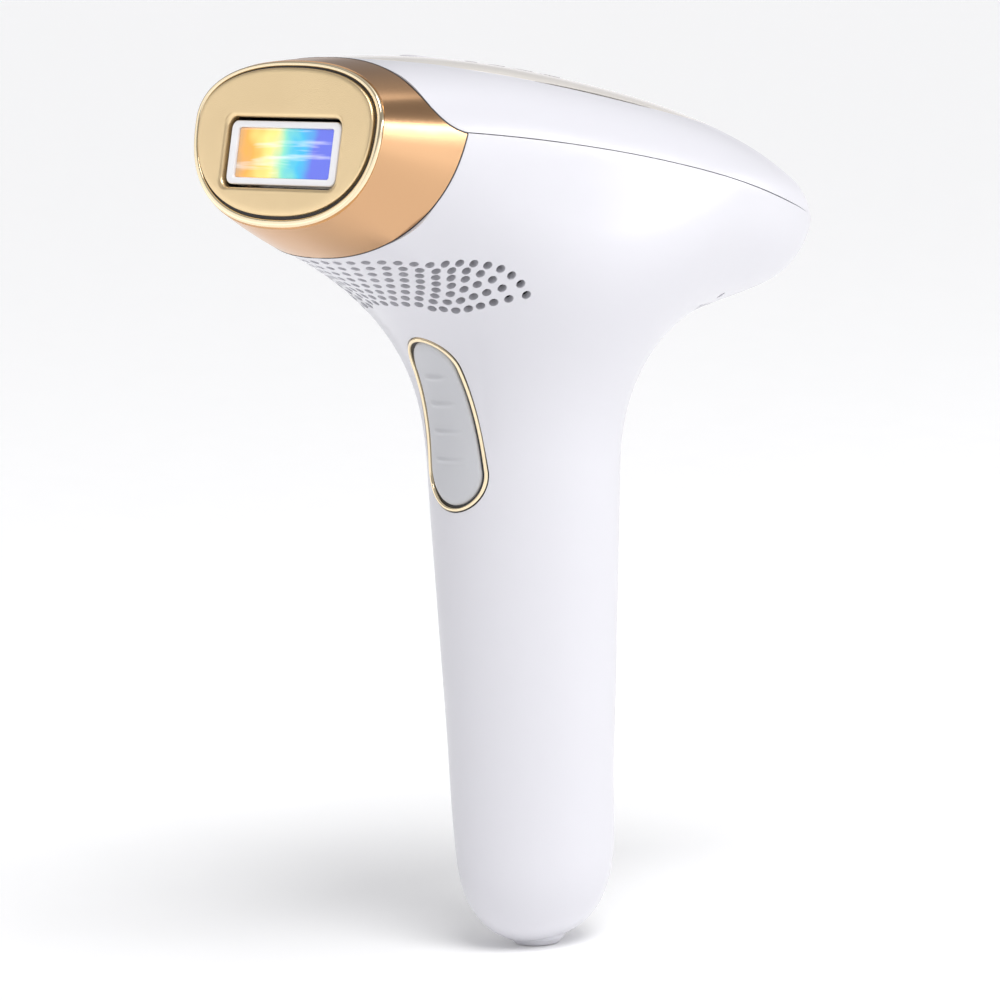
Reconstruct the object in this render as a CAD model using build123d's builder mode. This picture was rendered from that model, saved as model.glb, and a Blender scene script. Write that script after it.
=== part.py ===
"""Pistol-shaped intense pulsed light hair remover, as an assembly of separate pieces.

Frame: millimetres, +Z up along the grip, the lamp window looks towards -Y, the right-hand
side is +X. The origin is the centre of the power inlet's mouth at the foot of the grip.

The head leans forward over the grip. Its own directions are p, along the head from the lamp
window (negative) to the tail (positive), and q, across it towards its top.
"""

from build123d import *

import os
from math import atan2, cos, pi, radians, sin

import numpy as np

# ---- driving dimensions -------------------------------------------------------------------
HEAD_HEIGHT = 185.0  # head axis above the inlet, on the grip's axis
HEAD_TILT = 12.5  # the lamp end of the head is raised by this angle
HEAD_HALF_WIDTH = 32.9
HEAD_TOP = 19.85  # head axis to the crest of the top
HEAD_DEPTH = 35.5  # head axis to the lowest part of the belly
TAIL_TIP = 101.4  # head centre to the tip of the tail
HEAD_ROUNDING = 2.35  # superellipse exponent of the head's cross-section
NECK_BLEND = 36.0  # how softly the head runs into the grip
GRIP_HALF_WIDTH = 16.2
GRIP_HALF_DEPTH = 18.9
GRIP_FLARE = 0.045  # the grip widens by this much per millimetre of height
WALL = 2.2  # moulded wall of the body and the covers
PARTING_GAP = 0.2  # hairline between the top cover and the body
SEAM_GAP = 0.35  # joint between the lamp head and the body

FACE_P = -75.2  # front of the rim round the lamp plate
PLATE_PROUD = 0.8  # the lamp plate stands this far out of the rim
WINDOW_Q = -10.6  # centre of the flash window, across the head
WINDOW_LENGTH, WINDOW_HEIGHT = 30.0, 11.2
BEZEL_LENGTH, BEZEL_HEIGHT = 34.5, 14.4

TRIGGER_LOW, TRIGGER_HIGH = 114.3, 138.4  # centres of the trigger outline's end arcs
TRIGGER_LOW_R, TRIGGER_HIGH_R = 9.5, 7.8
TRIGGER_RING = 1.2
TRIGGER_TRAVEL = 1.2

STRIP_CENTRE_P, STRIP_HALF_LENGTH, STRIP_HALF_WIDTH = -2.0, 63.0, 23.6
POWER_KEY_P, LEVEL_KEY_P, LIGHTS_P = 16.0, -36.0, -15.4
KEY_RADIUS = 4.6
KEY_TRAVEL = 0.5
LIGHT_PITCH = 7.8

VENT_RADIUS = 1.1
VENT_PITCH = 3.65
FAN_P, FAN_Q, FAN_SIDE, FAN_DEPTH = -11.0, -11.0, 38.0, 10.0
FAN_BORE = 17.4

INLET_RADIUS, INLET_DEPTH = 5.0, 7.0
INLET_WALL = 1.6

TILT_COS, TILT_SIN = cos(radians(HEAD_TILT)), sin(radians(HEAD_TILT))
HEAD_CENTRE = Vector(0, 0, HEAD_HEIGHT)
# Sketching plane of the head's side view: its x is p and its y is q.
HEAD_SIDE = Plane(HEAD_CENTRE, x_dir=(0, TILT_COS, -TILT_SIN), z_dir=(1, 0, 0))
# Sketching plane of the head's plan view: its x is p and its y is -X.
HEAD_PLAN = Plane(HEAD_CENTRE, x_dir=(0, TILT_COS, -TILT_SIN), z_dir=(0, TILT_SIN, TILT_COS))


def head_point(p, q, x=0.0):
    """A point given along and across the head, in the part's frame."""
    return Vector(x, p * TILT_COS + q * TILT_SIN, HEAD_HEIGHT - p * TILT_SIN + q * TILT_COS)


def across_head(p, q=0.0):
    """Plane square to the head at p, facing the lamp window: its x is X and its y is q."""
    return Plane(head_point(p, q), x_dir=(1, 0, 0), z_dir=(0, -TILT_COS, TILT_SIN))


# ---- outer form ---------------------------------------------------------------------------
def swell(p, peak, peak_at, fullness, bluntness, drop, power):
    """Half-size of the head along p: an oval run to the tail, a soft drop to the lamp end."""
    aft = np.clip((p - peak_at) / (TAIL_TIP - peak_at), 0, 1 - 1e-6)
    fore = np.maximum(peak_at - p, 0) / 50
    return peak * (1 - aft**fullness) ** (1 / bluntness) - drop * fore**power


def half_width(p):
    return swell(p, HEAD_HALF_WIDTH, -8, 2.25, 1.83, 1.8, 2.25)


def top_height(p):
    return swell(p, HEAD_TOP, 12, 2.2, 1.57, 2.4, 2.52)


def belly_depth(p):
    return swell(p, HEAD_DEPTH, -22, 2.3, 1.7, 7.0, 2.7)


def widest_q(p):
    """Where the section is widest: on the head axis, and 5 mm under it at the lamp end."""
    t = np.clip((-20 - p) / 70, 0, 1)
    return -5 * t * t * (3 - 2 * t)


def smooth_max(a, b, blend):
    overlap = np.maximum(blend - np.abs(a - b), 0) / blend
    return np.maximum(a, b) + overlap**2 * blend / 4


def head_form(x, p, q):
    """Negative inside the head: superellipse sections, closed off past the lamp window."""
    station = np.clip(p, -90, TAIL_TIP - 0.05)
    middle = widest_q(station)
    up = q - middle
    height = np.where(up > 0, top_height(station) - middle, belly_depth(station) + middle)
    n = HEAD_ROUNDING
    rho = (np.abs(x / half_width(station)) ** n + np.abs(up / height) ** n) ** (1 / n)
    form = np.hypot(x, up) * (1 - 1 / np.maximum(rho, 1e-6))
    return smooth_max(np.maximum(form, p - TAIL_TIP), -(p + 92), 16)


def grip_form(x, y, z):
    """Negative inside the grip: a flared oval column with a rounded foot."""
    flare = GRIP_FLARE * z
    rho = np.hypot(x / (GRIP_HALF_WIDTH + 0.91 * flare), y / (GRIP_HALF_DEPTH + 1.11 * flare))
    form = np.hypot(x, y) * (1 - 1 / np.maximum(rho, 1e-6))
    form = smooth_max(form, -z - 0.3, 22)
    return smooth_max(form, z - 150, 10)


def body_form(x, y, z):
    """Negative inside the whole body: head and grip run into each other."""
    p = y * TILT_COS - (z - HEAD_HEIGHT) * TILT_SIN
    q = y * TILT_SIN + (z - HEAD_HEIGHT) * TILT_COS
    return -smooth_max(-head_form(x, p, q), -grip_form(x, y, z), NECK_BLEND)


def slope(x, y, z, step=0.05):
    return np.array(
        [
            body_form(x + step, y, z) - body_form(x - step, y, z),
            body_form(x, y + step, z) - body_form(x, y - step, z),
            body_form(x, y, z + step) - body_form(x, y, z - step),
        ]
    ) / (2 * step)


def solve_ray(start, heading, near, far, depth=0.0):
    """Distance along each ray from inside the body to the skin, or to depth beneath it."""
    near, far = np.array(near, float), np.array(far, float)
    for _ in range(40):
        middle = (near + far) / 2
        spot = [s + middle * h for s, h in zip(start, heading)]
        level = body_form(*spot)
        if depth:
            level = level / np.maximum(np.linalg.norm(slope(*spot), axis=0), 0.3) + depth
        near = np.where(level > 0, near, middle)
        far = np.where(level > 0, middle, far)
    return near


def skin_reach(heading, start, depth):
    """Distance from start to the surface that lies depth inside the skin."""
    size = np.shape(heading[0])
    skin = solve_ray(start, heading, np.full(size, 1.0), np.full(size, 230.0))
    if depth == 0:
        return skin
    return solve_ray(start, heading, np.maximum(skin - 6 * abs(depth), 0.5), skin + 3, depth)


# ---- sections for the lofted walls --------------------------------------------------------
def wall_face(plane, outer, inner):
    """Closed strip between an outer and an inner curve, as a face on the plane."""
    with BuildSketch(plane) as section:
        with BuildLine():
            Spline(*outer)
            Line(outer[-1], inner[-1])
            Spline(*inner[::-1])
            Line(inner[0], outer[0])
        make_face()
    return section.sketch.faces()[0]


def upright_section(longitude, latitudes, outer_depth=0.0, inner_depth=WALL):
    """Wall cut by an upright half-plane through the grip's axis."""
    plane = Plane(
        HEAD_CENTRE,
        x_dir=(cos(longitude), sin(longitude), 0),
        z_dir=(sin(longitude), -cos(longitude), 0),
    )
    start = (0.0, 0.0, HEAD_HEIGHT)
    heading = (
        np.cos(latitudes) * cos(longitude),
        np.cos(latitudes) * sin(longitude),
        np.sin(latitudes),
    )
    curves = []
    for depth in (outer_depth, inner_depth):
        reach = skin_reach(heading, start, depth)
        curves.append(list(zip(reach * np.cos(latitudes), reach * np.sin(latitudes))))
    return wall_face(plane, *curves)


def cross_outline(p, depth=0.0, points=40):
    """Outline of the body, square to the head at p, as (x, q) pairs."""
    angle = np.linspace(0, 2 * pi, points, endpoint=False) + pi / points
    start = tuple(head_point(p, float(widest_q(p))))
    heading = (np.cos(angle), np.sin(angle) * TILT_SIN, np.sin(angle) * TILT_COS)
    reach = skin_reach(heading, start, depth)
    return list(zip(reach * np.cos(angle), reach * np.sin(angle) + float(widest_q(p))))


def cross_face(p, depth=0.0):
    with BuildSketch(across_head(p)) as section:
        with BuildLine():
            Spline(*cross_outline(p, depth), periodic=True)
        make_face()
    return section.sketch.faces()[0]


def arch_section(p, outer_depth, inner_depth, spread):
    """Arch of the top wall, square to the head at p, out to spread either side."""
    lean = np.linspace(-1, 1, 17) * atan2(spread, float(top_height(p)) + 8)
    start = tuple(head_point(p, -8))
    heading = (np.sin(lean), np.cos(lean) * TILT_SIN, np.cos(lean) * TILT_COS)
    curves = []
    for depth in (outer_depth, inner_depth):
        reach = skin_reach(heading, start, depth)
        curves.append(list(zip(reach * np.sin(lean), reach * np.cos(lean) - 8)))
    return wall_face(across_head(p), *curves)


HALF_TURN_STATIONS = [radians(97) * sin(pi / 2 * k / 9) for k in range(-9, 10)]
LATITUDE_STEPS = np.linspace(0, 1, 26)


# ---- sketches shared by several pieces ----------------------------------------------------
def side_face(build_outline):
    """Face on the head's side view, drawn by build_outline."""
    with BuildSketch(HEAD_SIDE) as drawing:
        with BuildLine():
            build_outline()
        make_face()
    return drawing.sketch.faces()[0]


V_POINT = (-50.0, -1.5)  # where the top cover, the body and the lamp head meet at the side


def lamp_zone(setback):
    """Side view of all that lies in front of the seam, moved towards the tail by setback."""
    v_p, v_q = V_POINT[0] + setback, V_POINT[1]
    top_q, foot = v_q + 13.5, (v_p - 10.7, v_q - 30.7)

    def outline():
        Line((v_p - 15.3, 60), (v_p - 15.3, top_q))
        EllipticalCenterArc((v_p, top_q), 15.3, 13.5, 180, arc_size=90)
        ThreePointArc((v_p, v_q), (v_p - 3.8, v_q - 15.4), foot)
        Polyline(foot, (v_p - 15.5, -48), (-130, -48), (-130, 60), (v_p - 15.3, 60))

    return side_face(outline)


def above_parting(shift):
    """Side view of all that lies above the parting line of the top cover."""
    start, middle, end = (-50, -1.5 + shift), (24, 2.8 + shift), (101.5, -0.4 + shift)

    def outline():
        Polyline(start, (-120, -1.5 + shift), (-120, 60), (130, 60), (130, end[1]), end)
        ThreePointArc(start, middle, end)

    return side_face(outline)


def trigger_outline(inset):
    """Front view of the trigger, x and Z: two arcs joined by straight sides."""
    with BuildSketch(Plane.XZ) as outline:
        with Locations((0, TRIGGER_LOW)):
            Circle(TRIGGER_LOW_R - inset)
        with Locations((0, TRIGGER_HIGH)):
            Circle(TRIGGER_HIGH_R - inset)
        make_hull()
    return outline.sketch.faces()[0]


def trigger_skin(outer_depth, inner_depth):
    """Piece of the grip's front wall that the trigger and its ring are cut from."""
    latitudes = np.radians(np.linspace(-78.5, -38, 22))
    stations = [radians(-90 + turn) for turn in np.linspace(-42, 42, 9)]
    return [upright_section(s, latitudes, outer_depth, inner_depth) for s in stations]


def strip_outline(inset):
    """Plan view of the top strip: an oval, pointed a little at its ends."""
    turn = np.linspace(0, 2 * pi, 36, endpoint=False)
    power = 2 / 2.3
    with BuildSketch(HEAD_PLAN) as outline:
        with BuildLine():
            Spline(
                *[
                    (
                        STRIP_CENTRE_P
                        + (STRIP_HALF_LENGTH - inset) * np.sign(cos(a)) * abs(cos(a)) ** power,
                        (STRIP_HALF_WIDTH - inset) * np.sign(sin(a)) * abs(sin(a)) ** power,
                    )
                    for a in turn
                ],
                periodic=True,
            )
        make_face()
    return outline.sketch.faces()[0]


def window_box(length, height, front_p, back_p, corner):
    """Rounded block on the window's axis, as a part kept apart from any builder."""
    with BuildPart() as block:
        with BuildSketch(across_head(back_p, WINDOW_Q)):
            RectangleRounded(length, height, corner)
        extrude(amount=back_p - front_p)
    return block.part


def oval_block(inset, front_p, back_p):
    """Oval of the lamp face, inset by a margin, between two stations."""
    outline = [
        (
            x * (1 - inset / 29.4),
            float(widest_q(FACE_P)) + (q - float(widest_q(FACE_P))) * (1 - inset / 18.8),
        )
        for x, q in cross_outline(FACE_P)
    ]
    with BuildPart() as block:
        with BuildSketch(across_head(back_p)):
            with BuildLine():
                Spline(*outline, periodic=True)
            make_face()
        extrude(amount=back_p - front_p)
    return block.part


# ---- vent holes ---------------------------------------------------------------------------
def front_skin(x, z):
    """The y of the grip and belly's front skin at (x, z)."""
    return -solve_ray((x, 0.0, z), (0.0, -1.0, 0.0), np.zeros_like(x) + 8, np.zeros_like(x) + 100)


def front_vent_places():
    """Holes under the lamp end, along nested arches that shrink towards the neck's middle."""
    places = []
    arches, foot = 8, 148.0
    for arch in range(arches):
        scale = 1 - 0.088 * arch
        turn = np.linspace(0, pi / 2, 160)
        x = 26.4 * scale * np.cos(turn) ** 0.42
        z = foot + scale * (11.2 + 6.4 * np.sin(turn) ** 0.42)
        leg = np.linspace(-1, 0, 30)[:-1]
        x = np.append(26.4 * scale + 0.5 * scale * leg**2 * -1, x)
        z = np.append(foot + scale * (11.2 + 3.0 * leg), z)
        keep = (z > 153.6) & (x > 0)
        x, z = x[keep], z[keep]
        if len(x) < 2:
            continue
        y = front_skin(x, z)
        run = np.append(0, np.cumsum(np.sqrt(np.diff(x) ** 2 + np.diff(y) ** 2 + np.diff(z) ** 2)))
        half_step = arch % 2 / 2
        count = round(run[-1] / VENT_PITCH - half_step)
        for k in range(count + 1):
            along = run[-1] * k / (count + half_step) if count + half_step else 0
            spot = [np.interp(along, run, values) for values in (x, y, z)]
            places.append(spot)
            if spot[0] > 0.5:
                places.append([-spot[0], spot[1], spot[2]])
    return places


def rear_vent_places():
    """Holes in the belly behind the grip, in staggered rows."""
    places = []
    for row in range(5):
        y = 37 + 4.0 * row
        for k in range(8 - row % 2):
            x = (k - (7 - row % 2) / 2) * 4.6
            drop = solve_ray((x, y, 170.0), (0.0, 0.0, -1.0), np.array(2.0), np.array(60.0))
            places.append([x, y, 170.0 - float(drop)])
    return places


def hole_planes(places):
    """A plane at each place with its z along the skin's outward normal."""
    planes = []
    for x, y, z in places:
        normal = slope(np.array(x), np.array(y), np.array(z))
        planes.append(Plane((x, y, z), z_dir=tuple(normal)))
    return planes


# ---- shells -------------------------------------------------------------------------------
with BuildPart() as body_shell:
    foot = -pi / 2 + atan2(INLET_RADIUS + INLET_WALL + 0.1, HEAD_HEIGHT)
    sections = []
    for station in HALF_TURN_STATIONS:
        rim = radians(7 - HEAD_TILT * sin(station))
        sections.append(upright_section(station, foot + (rim - foot) * LATITUDE_STEPS**2.2))
    loft(sections=sections)
    split(bisect_by=Plane.YZ, keep=Keep.TOP)
    mirror(about=Plane.YZ)
    extrude(above_parting(0), amount=50, dir=(1, 0, 0), both=True, mode=Mode.SUBTRACT)
    extrude(lamp_zone(SEAM_GAP), amount=50, dir=(1, 0, 0), both=True, mode=Mode.SUBTRACT)
    extrude(trigger_outline(-0.1), amount=45, dir=(0, -1, 0), mode=Mode.SUBTRACT)
    with BuildSketch(Plane.XY.offset(-1)):
        Circle(INLET_RADIUS + INLET_WALL + 0.15)
    extrude(amount=INLET_DEPTH + 1, mode=Mode.SUBTRACT)
    with Locations(*hole_planes(front_vent_places() + rear_vent_places())):
        Cylinder(VENT_RADIUS, 9, mode=Mode.SUBTRACT)

with BuildPart() as top_cover:
    sections = []
    for station in HALF_TURN_STATIONS:
        rim = radians(-7 - HEAD_TILT * sin(station))
        crest = pi / 2 - radians(25)
        sections.append(upright_section(station, rim + (crest - rim) * LATITUDE_STEPS))
    loft(sections=sections)
    split(bisect_by=Plane.YZ, keep=Keep.TOP)
    mirror(about=Plane.YZ)
    extrude(above_parting(PARTING_GAP), amount=50, dir=(1, 0, 0), both=True, mode=Mode.INTERSECT)
    extrude(lamp_zone(SEAM_GAP), amount=50, dir=(1, 0, 0), both=True, mode=Mode.SUBTRACT)
    extrude(
        strip_outline(-0.12), amount=60, dir=(0, TILT_SIN, TILT_COS), mode=Mode.SUBTRACT
    )

with BuildPart() as control_strip:
    loft(sections=[arch_section(p, 0.0, WALL - 0.2, 27) for p in np.linspace(-68, 64, 12)])
    extrude(strip_outline(0), amount=60, dir=(0, TILT_SIN, TILT_COS), mode=Mode.INTERSECT)
    extrude(lamp_zone(SEAM_GAP), amount=50, dir=(1, 0, 0), both=True, mode=Mode.SUBTRACT)
    with Locations(HEAD_PLAN):
        with Locations((POWER_KEY_P, 0, 10), (LEVEL_KEY_P, 0, 10)):
            Cylinder(KEY_RADIUS + 0.2, 30, mode=Mode.SUBTRACT)
        with Locations(*[(LIGHTS_P + (k - 1.5) * LIGHT_PITCH, 0, 10) for k in range(4)]):
            Cylinder(1.3, 30, mode=Mode.SUBTRACT)

with BuildPart() as nose_shroud:
    front = FACE_P + 1.0
    stations = np.linspace(front, -44, 8)
    loft(sections=[cross_face(p) for p in stations])
    loft(sections=[cross_face(p, WALL) for p in np.linspace(front + 2, -43, 8)], mode=Mode.SUBTRACT)
    extrude(lamp_zone(0), amount=50, dir=(1, 0, 0), both=True, mode=Mode.INTERSECT)
    add(window_box(BEZEL_LENGTH + 3.6, BEZEL_HEIGHT + 3.6, -90, -60, 3), mode=Mode.SUBTRACT)


# ---- lamp head ----------------------------------------------------------------------------
SEAT_P = FACE_P + 1.0  # front wall of the shroud, which the rim and the plate sit on
FRONT_WALL = 2.0

with BuildPart() as face_rim:
    add(oval_block(0.0, FACE_P, SEAT_P))
    add(oval_block(1.4, FACE_P - 1, SEAT_P + 1), mode=Mode.SUBTRACT)
    chamfer(face_rim.faces().sort_by(HEAD_SIDE.location.x_axis)[0].edges(), 0.35)

with BuildPart() as face_plate:
    add(oval_block(2.0, FACE_P - PLATE_PROUD, SEAT_P))
    add(
        window_box(BEZEL_LENGTH + 1.6, BEZEL_HEIGHT + 1.6, -90, -60, 2.6),
        mode=Mode.SUBTRACT,
    )

with BuildPart() as window_bezel:
    add(window_box(BEZEL_LENGTH, BEZEL_HEIGHT, FACE_P + 0.1, SEAT_P + 3.5, 1.8))
    add(window_box(BEZEL_LENGTH + 3.2, BEZEL_HEIGHT + 3.2, SEAT_P + 0.1, SEAT_P + 1.9, 2.6))
    add(
        window_box(WINDOW_LENGTH + 0.1, WINDOW_HEIGHT + 0.1, -90, -60, 0.5),
        mode=Mode.SUBTRACT,
    )

with BuildPart() as window_glass:
    add(window_box(WINDOW_LENGTH, WINDOW_HEIGHT, FACE_P + 0.6, FACE_P + 2.6, 0.4))

REFLECTOR_MOUTH, REFLECTOR_FLOOR, LAMP_P = -69.6, -57.5, -61.5
with BuildPart() as reflector:
    bowl_p = REFLECTOR_FLOOR - 7.2
    with BuildSketch(HEAD_SIDE):
        for radius, mode in ((8.0, Mode.ADD), (7.2, Mode.SUBTRACT)):
            with Locations((bowl_p, WINDOW_Q)):
                Circle(radius, mode=mode)
            with Locations(((REFLECTOR_MOUTH + bowl_p) / 2, WINDOW_Q)):
                Rectangle(bowl_p - REFLECTOR_MOUTH, 2 * radius, mode=mode)
        with Locations((REFLECTOR_MOUTH - 5, WINDOW_Q)):
            Rectangle(10, 20, mode=Mode.SUBTRACT)
    extrude(amount=17.0, both=True)

with BuildPart() as flash_lamp:
    with BuildSketch(Plane(head_point(LAMP_P, WINDOW_Q), z_dir=(1, 0, 0))):
        Circle(2.6)
        Circle(1.9, mode=Mode.SUBTRACT)
    extrude(amount=18.0, both=True)

with BuildPart() as lamp_electrodes:
    for side in (-1, 1):
        with BuildSketch(Plane(head_point(LAMP_P, WINDOW_Q, 18 * side), z_dir=(side, 0, 0))):
            Circle(2.9)
        extrude(amount=2.2)
        with BuildSketch(Plane(head_point(LAMP_P, WINDOW_Q, 18 * side), z_dir=(-side, 0, 0))):
            Circle(1.2)
        extrude(amount=5.0)

FRAME_FRONT, FRAME_BACK = SEAT_P + FRONT_WALL, -52.2
with BuildPart() as lamp_frame:
    add(window_box(44, 20.4, FRAME_FRONT, FRAME_BACK, 6))
    add(window_box(40.8, 17.2, FRAME_FRONT - 1, FRAME_BACK - 1.8, 4.4), mode=Mode.SUBTRACT)
    with Locations(across_head(FRAME_BACK, WINDOW_Q)):
        with GridLocations(8, 0, 3, 1):
            Box(2.4, 5.4, 8, mode=Mode.SUBTRACT)

with BuildPart() as frame_screws:
    for side in (-1, 1):
        with BuildSketch(across_head(FRAME_BACK, WINDOW_Q)):
            with Locations((17.5 * side, 2)):
                Circle(2.0)
        extrude(amount=-1.2)

with BuildPart() as contact_blades:
    with Locations(across_head(FRAME_BACK - 0.9, WINDOW_Q)):
        with GridLocations(8, 0, 3, 1):
            Box(2.4, 5.4, 1.8)
            with Locations((0, 0, -2.9)):
                Box(1.0, 4.4, 4.0)

# ---- receiver for the lamp head -----------------------------------------------------------
BULKHEAD_P = -46.0
with BuildPart() as contact_socket:
    with BuildSketch(across_head(BULKHEAD_P, WINDOW_Q)):
        RectangleRounded(28, 10, 1.5)
    extrude(amount=BULKHEAD_P - FRAME_BACK - 1.6)
    with Locations(across_head(FRAME_BACK, WINDOW_Q)):
        with GridLocations(8, 0, 3, 1):
            Box(1.6, 5.0, 12, mode=Mode.SUBTRACT)

with BuildPart() as front_bulkhead:
    loft(sections=[cross_face(p, WALL + 0.5) for p in (BULKHEAD_P, BULKHEAD_P + 2)])
    with Locations(across_head(BULKHEAD_P, WINDOW_Q)):
        for level in (13.5, -12.5):
            with Locations((0, level)):
                with GridLocations(8, 0, 5, 1):
                    Box(5, 6, 12, mode=Mode.SUBTRACT)

SINK_FRONT, SINK_LENGTH = BULKHEAD_P + 2.0, 18.0
with BuildPart() as heat_sink:
    with BuildSketch(across_head(SINK_FRONT, WINDOW_Q)):
        Rectangle(40, 3)
        with GridLocations(4.2, 0, 10, 1):
            Rectangle(1.2, 20)
    extrude(amount=-SINK_LENGTH)

# ---- fan ----------------------------------------------------------------------------------
fan_front = across_head(FAN_P - FAN_DEPTH / 2, FAN_Q)
fan_back = across_head(FAN_P + FAN_DEPTH / 2, FAN_Q)
with BuildPart() as fan_frame:
    with BuildSketch(fan_back):
        RectangleRounded(FAN_SIDE, FAN_SIDE, 3)
        Circle(FAN_BORE, mode=Mode.SUBTRACT)
        with GridLocations(32, 32, 2, 2):
            Circle(1.6, mode=Mode.SUBTRACT)
    extrude(amount=FAN_DEPTH)
    with BuildSketch(fan_back):
        Circle(8)
        with PolarLocations(0, 3, start_angle=30):
            with Locations((12, 0)):
                Rectangle(12, 3)
    extrude(amount=1.6)
    with BuildSketch(fan_back.offset(1.6)):
        Circle(3.0)
    extrude(amount=3.0)
    with Locations(fan_back):
        Cylinder(1.03, 20, mode=Mode.SUBTRACT)

with BuildPart() as fan_rotor:
    with BuildSketch(fan_front.offset(-0.4)):
        Circle(8)
    extrude(amount=-7.4)
    with BuildSketch(fan_front.offset(-1.6)):
        Circle(7.0)
    extrude(amount=-7.4, mode=Mode.SUBTRACT)
    with BuildSketch(fan_front.offset(-1.6)):
        Circle(1.0)
    extrude(amount=-7.6)
    with Locations(fan_front.offset(-4.2)):
        with PolarLocations(12.1, 7):
            Box(9.2, 1.0, 8.0, rotation=(55, 0, 0))

with BuildPart() as fan_screws:
    with BuildSketch(fan_front):
        with GridLocations(32, 32, 2, 2):
            Circle(2.6)
    extrude(amount=1.5)
    with BuildSketch(fan_front):
        with GridLocations(32, 32, 2, 2):
            Circle(1.5)
    extrude(amount=-FAN_DEPTH)

with BuildPart() as air_baffle:
    baffle_p = FAN_P + FAN_DEPTH / 2
    loft(sections=[cross_face(p, WALL + 0.5) for p in (baffle_p, baffle_p + 1.8)])
    with Locations(across_head(baffle_p, -12.6)):
        Box(100, 42, 10, mode=Mode.INTERSECT)
    with Locations(across_head(baffle_p, FAN_Q)):
        Cylinder(FAN_BORE, 20, mode=Mode.SUBTRACT)

with BuildPart() as chassis:
    rail_plane = Plane(head_point(0, -6.6), x_dir=HEAD_PLAN.x_dir, z_dir=HEAD_PLAN.z_dir)
    with BuildSketch(rail_plane):
        with Locations((26.2, 21.6), (26.2, -21.6)):
            Rectangle(60.8, 3.2)
        with Locations((55, 0)):
            Rectangle(3.2, 46.4)
    extrude(amount=-3)

# ---- drive electronics in the tail --------------------------------------------------------
BOARD_Q, BOARD_THICKNESS = -5.0, 1.6
board_top = Plane(head_point(38, BOARD_Q), x_dir=HEAD_PLAN.x_dir, z_dir=HEAD_PLAN.z_dir)
BOARD_HOLES = [(28, 12), (28, -12), (-28, 15), (-28, -15)]
with BuildPart() as power_board:
    with BuildSketch(board_top):
        with BuildLine():
            Polyline((-34, 21), (20, 21), (33, 15), (33, -15), (20, -21), (-34, -21), close=True)
        make_face()
        with Locations(*BOARD_HOLES):
            Circle(1.3, mode=Mode.SUBTRACT)
    extrude(amount=-BOARD_THICKNESS)

with BuildPart() as board_screws:
    with BuildSketch(board_top):
        with Locations(*BOARD_HOLES):
            Circle(2.4)
    extrude(amount=1.4)
    with BuildSketch(board_top):
        with Locations(*BOARD_HOLES):
            Circle(1.2)
    extrude(amount=-5.0)

with BuildPart() as trigger_transformer:
    with BuildSketch(board_top):
        with Locations((-8, 8)):
            RectangleRounded(16, 14, 1)
    extrude(amount=13)
    fillet(trigger_transformer.faces().sort_by(HEAD_PLAN.location.z_axis)[-1].edges(), 0.8)

with BuildPart() as charge_choke:
    with BuildSketch(board_top):
        with Locations((-8, -9)):
            Circle(7.5)
            Circle(3.2, mode=Mode.SUBTRACT)
    extrude(amount=8)

with BuildPart() as power_switches:
    with BuildSketch(board_top):
        with Locations((14, 6), (14, -6)):
            Rectangle(4.6, 10)
    extrude(amount=10)

with BuildPart() as filter_capacitors:
    with BuildSketch(board_top):
        with Locations((-24, 0), (-24, 8.5), (-24, -8.5)):
            Circle(3.6)
    extrude(amount=11)

with BuildPart() as belly_capacitor:
    with BuildSketch(across_head(46, -16.2)):
        Circle(8.4)
    extrude(amount=36)
    fillet(belly_capacitor.edges().filter_by(GeomType.CIRCLE), 0.8)

# ---- controls under the top strip ---------------------------------------------------------
CONTROL_Q = 10.6
CONTROL_P = -10.5
control_top = Plane(head_point(CONTROL_P, CONTROL_Q), x_dir=HEAD_PLAN.x_dir, z_dir=HEAD_PLAN.z_dir)
KEY_SPOTS = [(POWER_KEY_P - CONTROL_P, 0), (LEVEL_KEY_P - CONTROL_P, 0)]
with BuildPart() as control_board:
    with BuildSketch(control_top):
        RectangleRounded(66, 28, 3)
    extrude(amount=-1.2)

with BuildPart() as key_switches:
    with BuildSketch(control_top):
        with Locations(*KEY_SPOTS):
            Rectangle(6, 6)
    extrude(amount=1.6)
    with BuildSketch(control_top.offset(1.6)):
        with Locations(*KEY_SPOTS):
            Circle(1.5)
    extrude(amount=0.8)


def key_part(station, crest):
    """Round key with a retaining flange under the strip and a stem for its switch."""
    top = Plane(head_point(station, crest), x_dir=HEAD_PLAN.x_dir, z_dir=HEAD_PLAN.z_dir)
    with BuildPart() as key:
        with BuildSketch(top):
            Circle(KEY_RADIUS)
        extrude(amount=-3.2)
        fillet(key.faces().sort_by(HEAD_PLAN.location.z_axis)[-1].edges(), 0.5)
        with BuildSketch(top.offset(-WALL - 0.9)):
            Circle(KEY_RADIUS + 1.0)
        extrude(amount=-0.9)
        with BuildSketch(top.offset(-WALL - 1.8)):
            Circle(1.6)
        stem = crest - WALL - 1.8 - (CONTROL_Q + 2.4) - KEY_TRAVEL - 0.05
        if stem > 0.2:
            extrude(amount=-stem)
    return key.part


def crest_q(p):
    """Height of the top skin over the head's axis at p."""
    up = (np.zeros(1), np.array([TILT_SIN]), np.array([TILT_COS]))
    return float(skin_reach(up, tuple(head_point(p, 0)), 0.0)[0])


KEY_RECESS = 0.1
with BuildPart() as power_key:
    add(key_part(POWER_KEY_P, crest_q(POWER_KEY_P) - KEY_RECESS))

with BuildPart() as level_key:
    add(key_part(LEVEL_KEY_P, crest_q(LEVEL_KEY_P) - KEY_RECESS))

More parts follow.
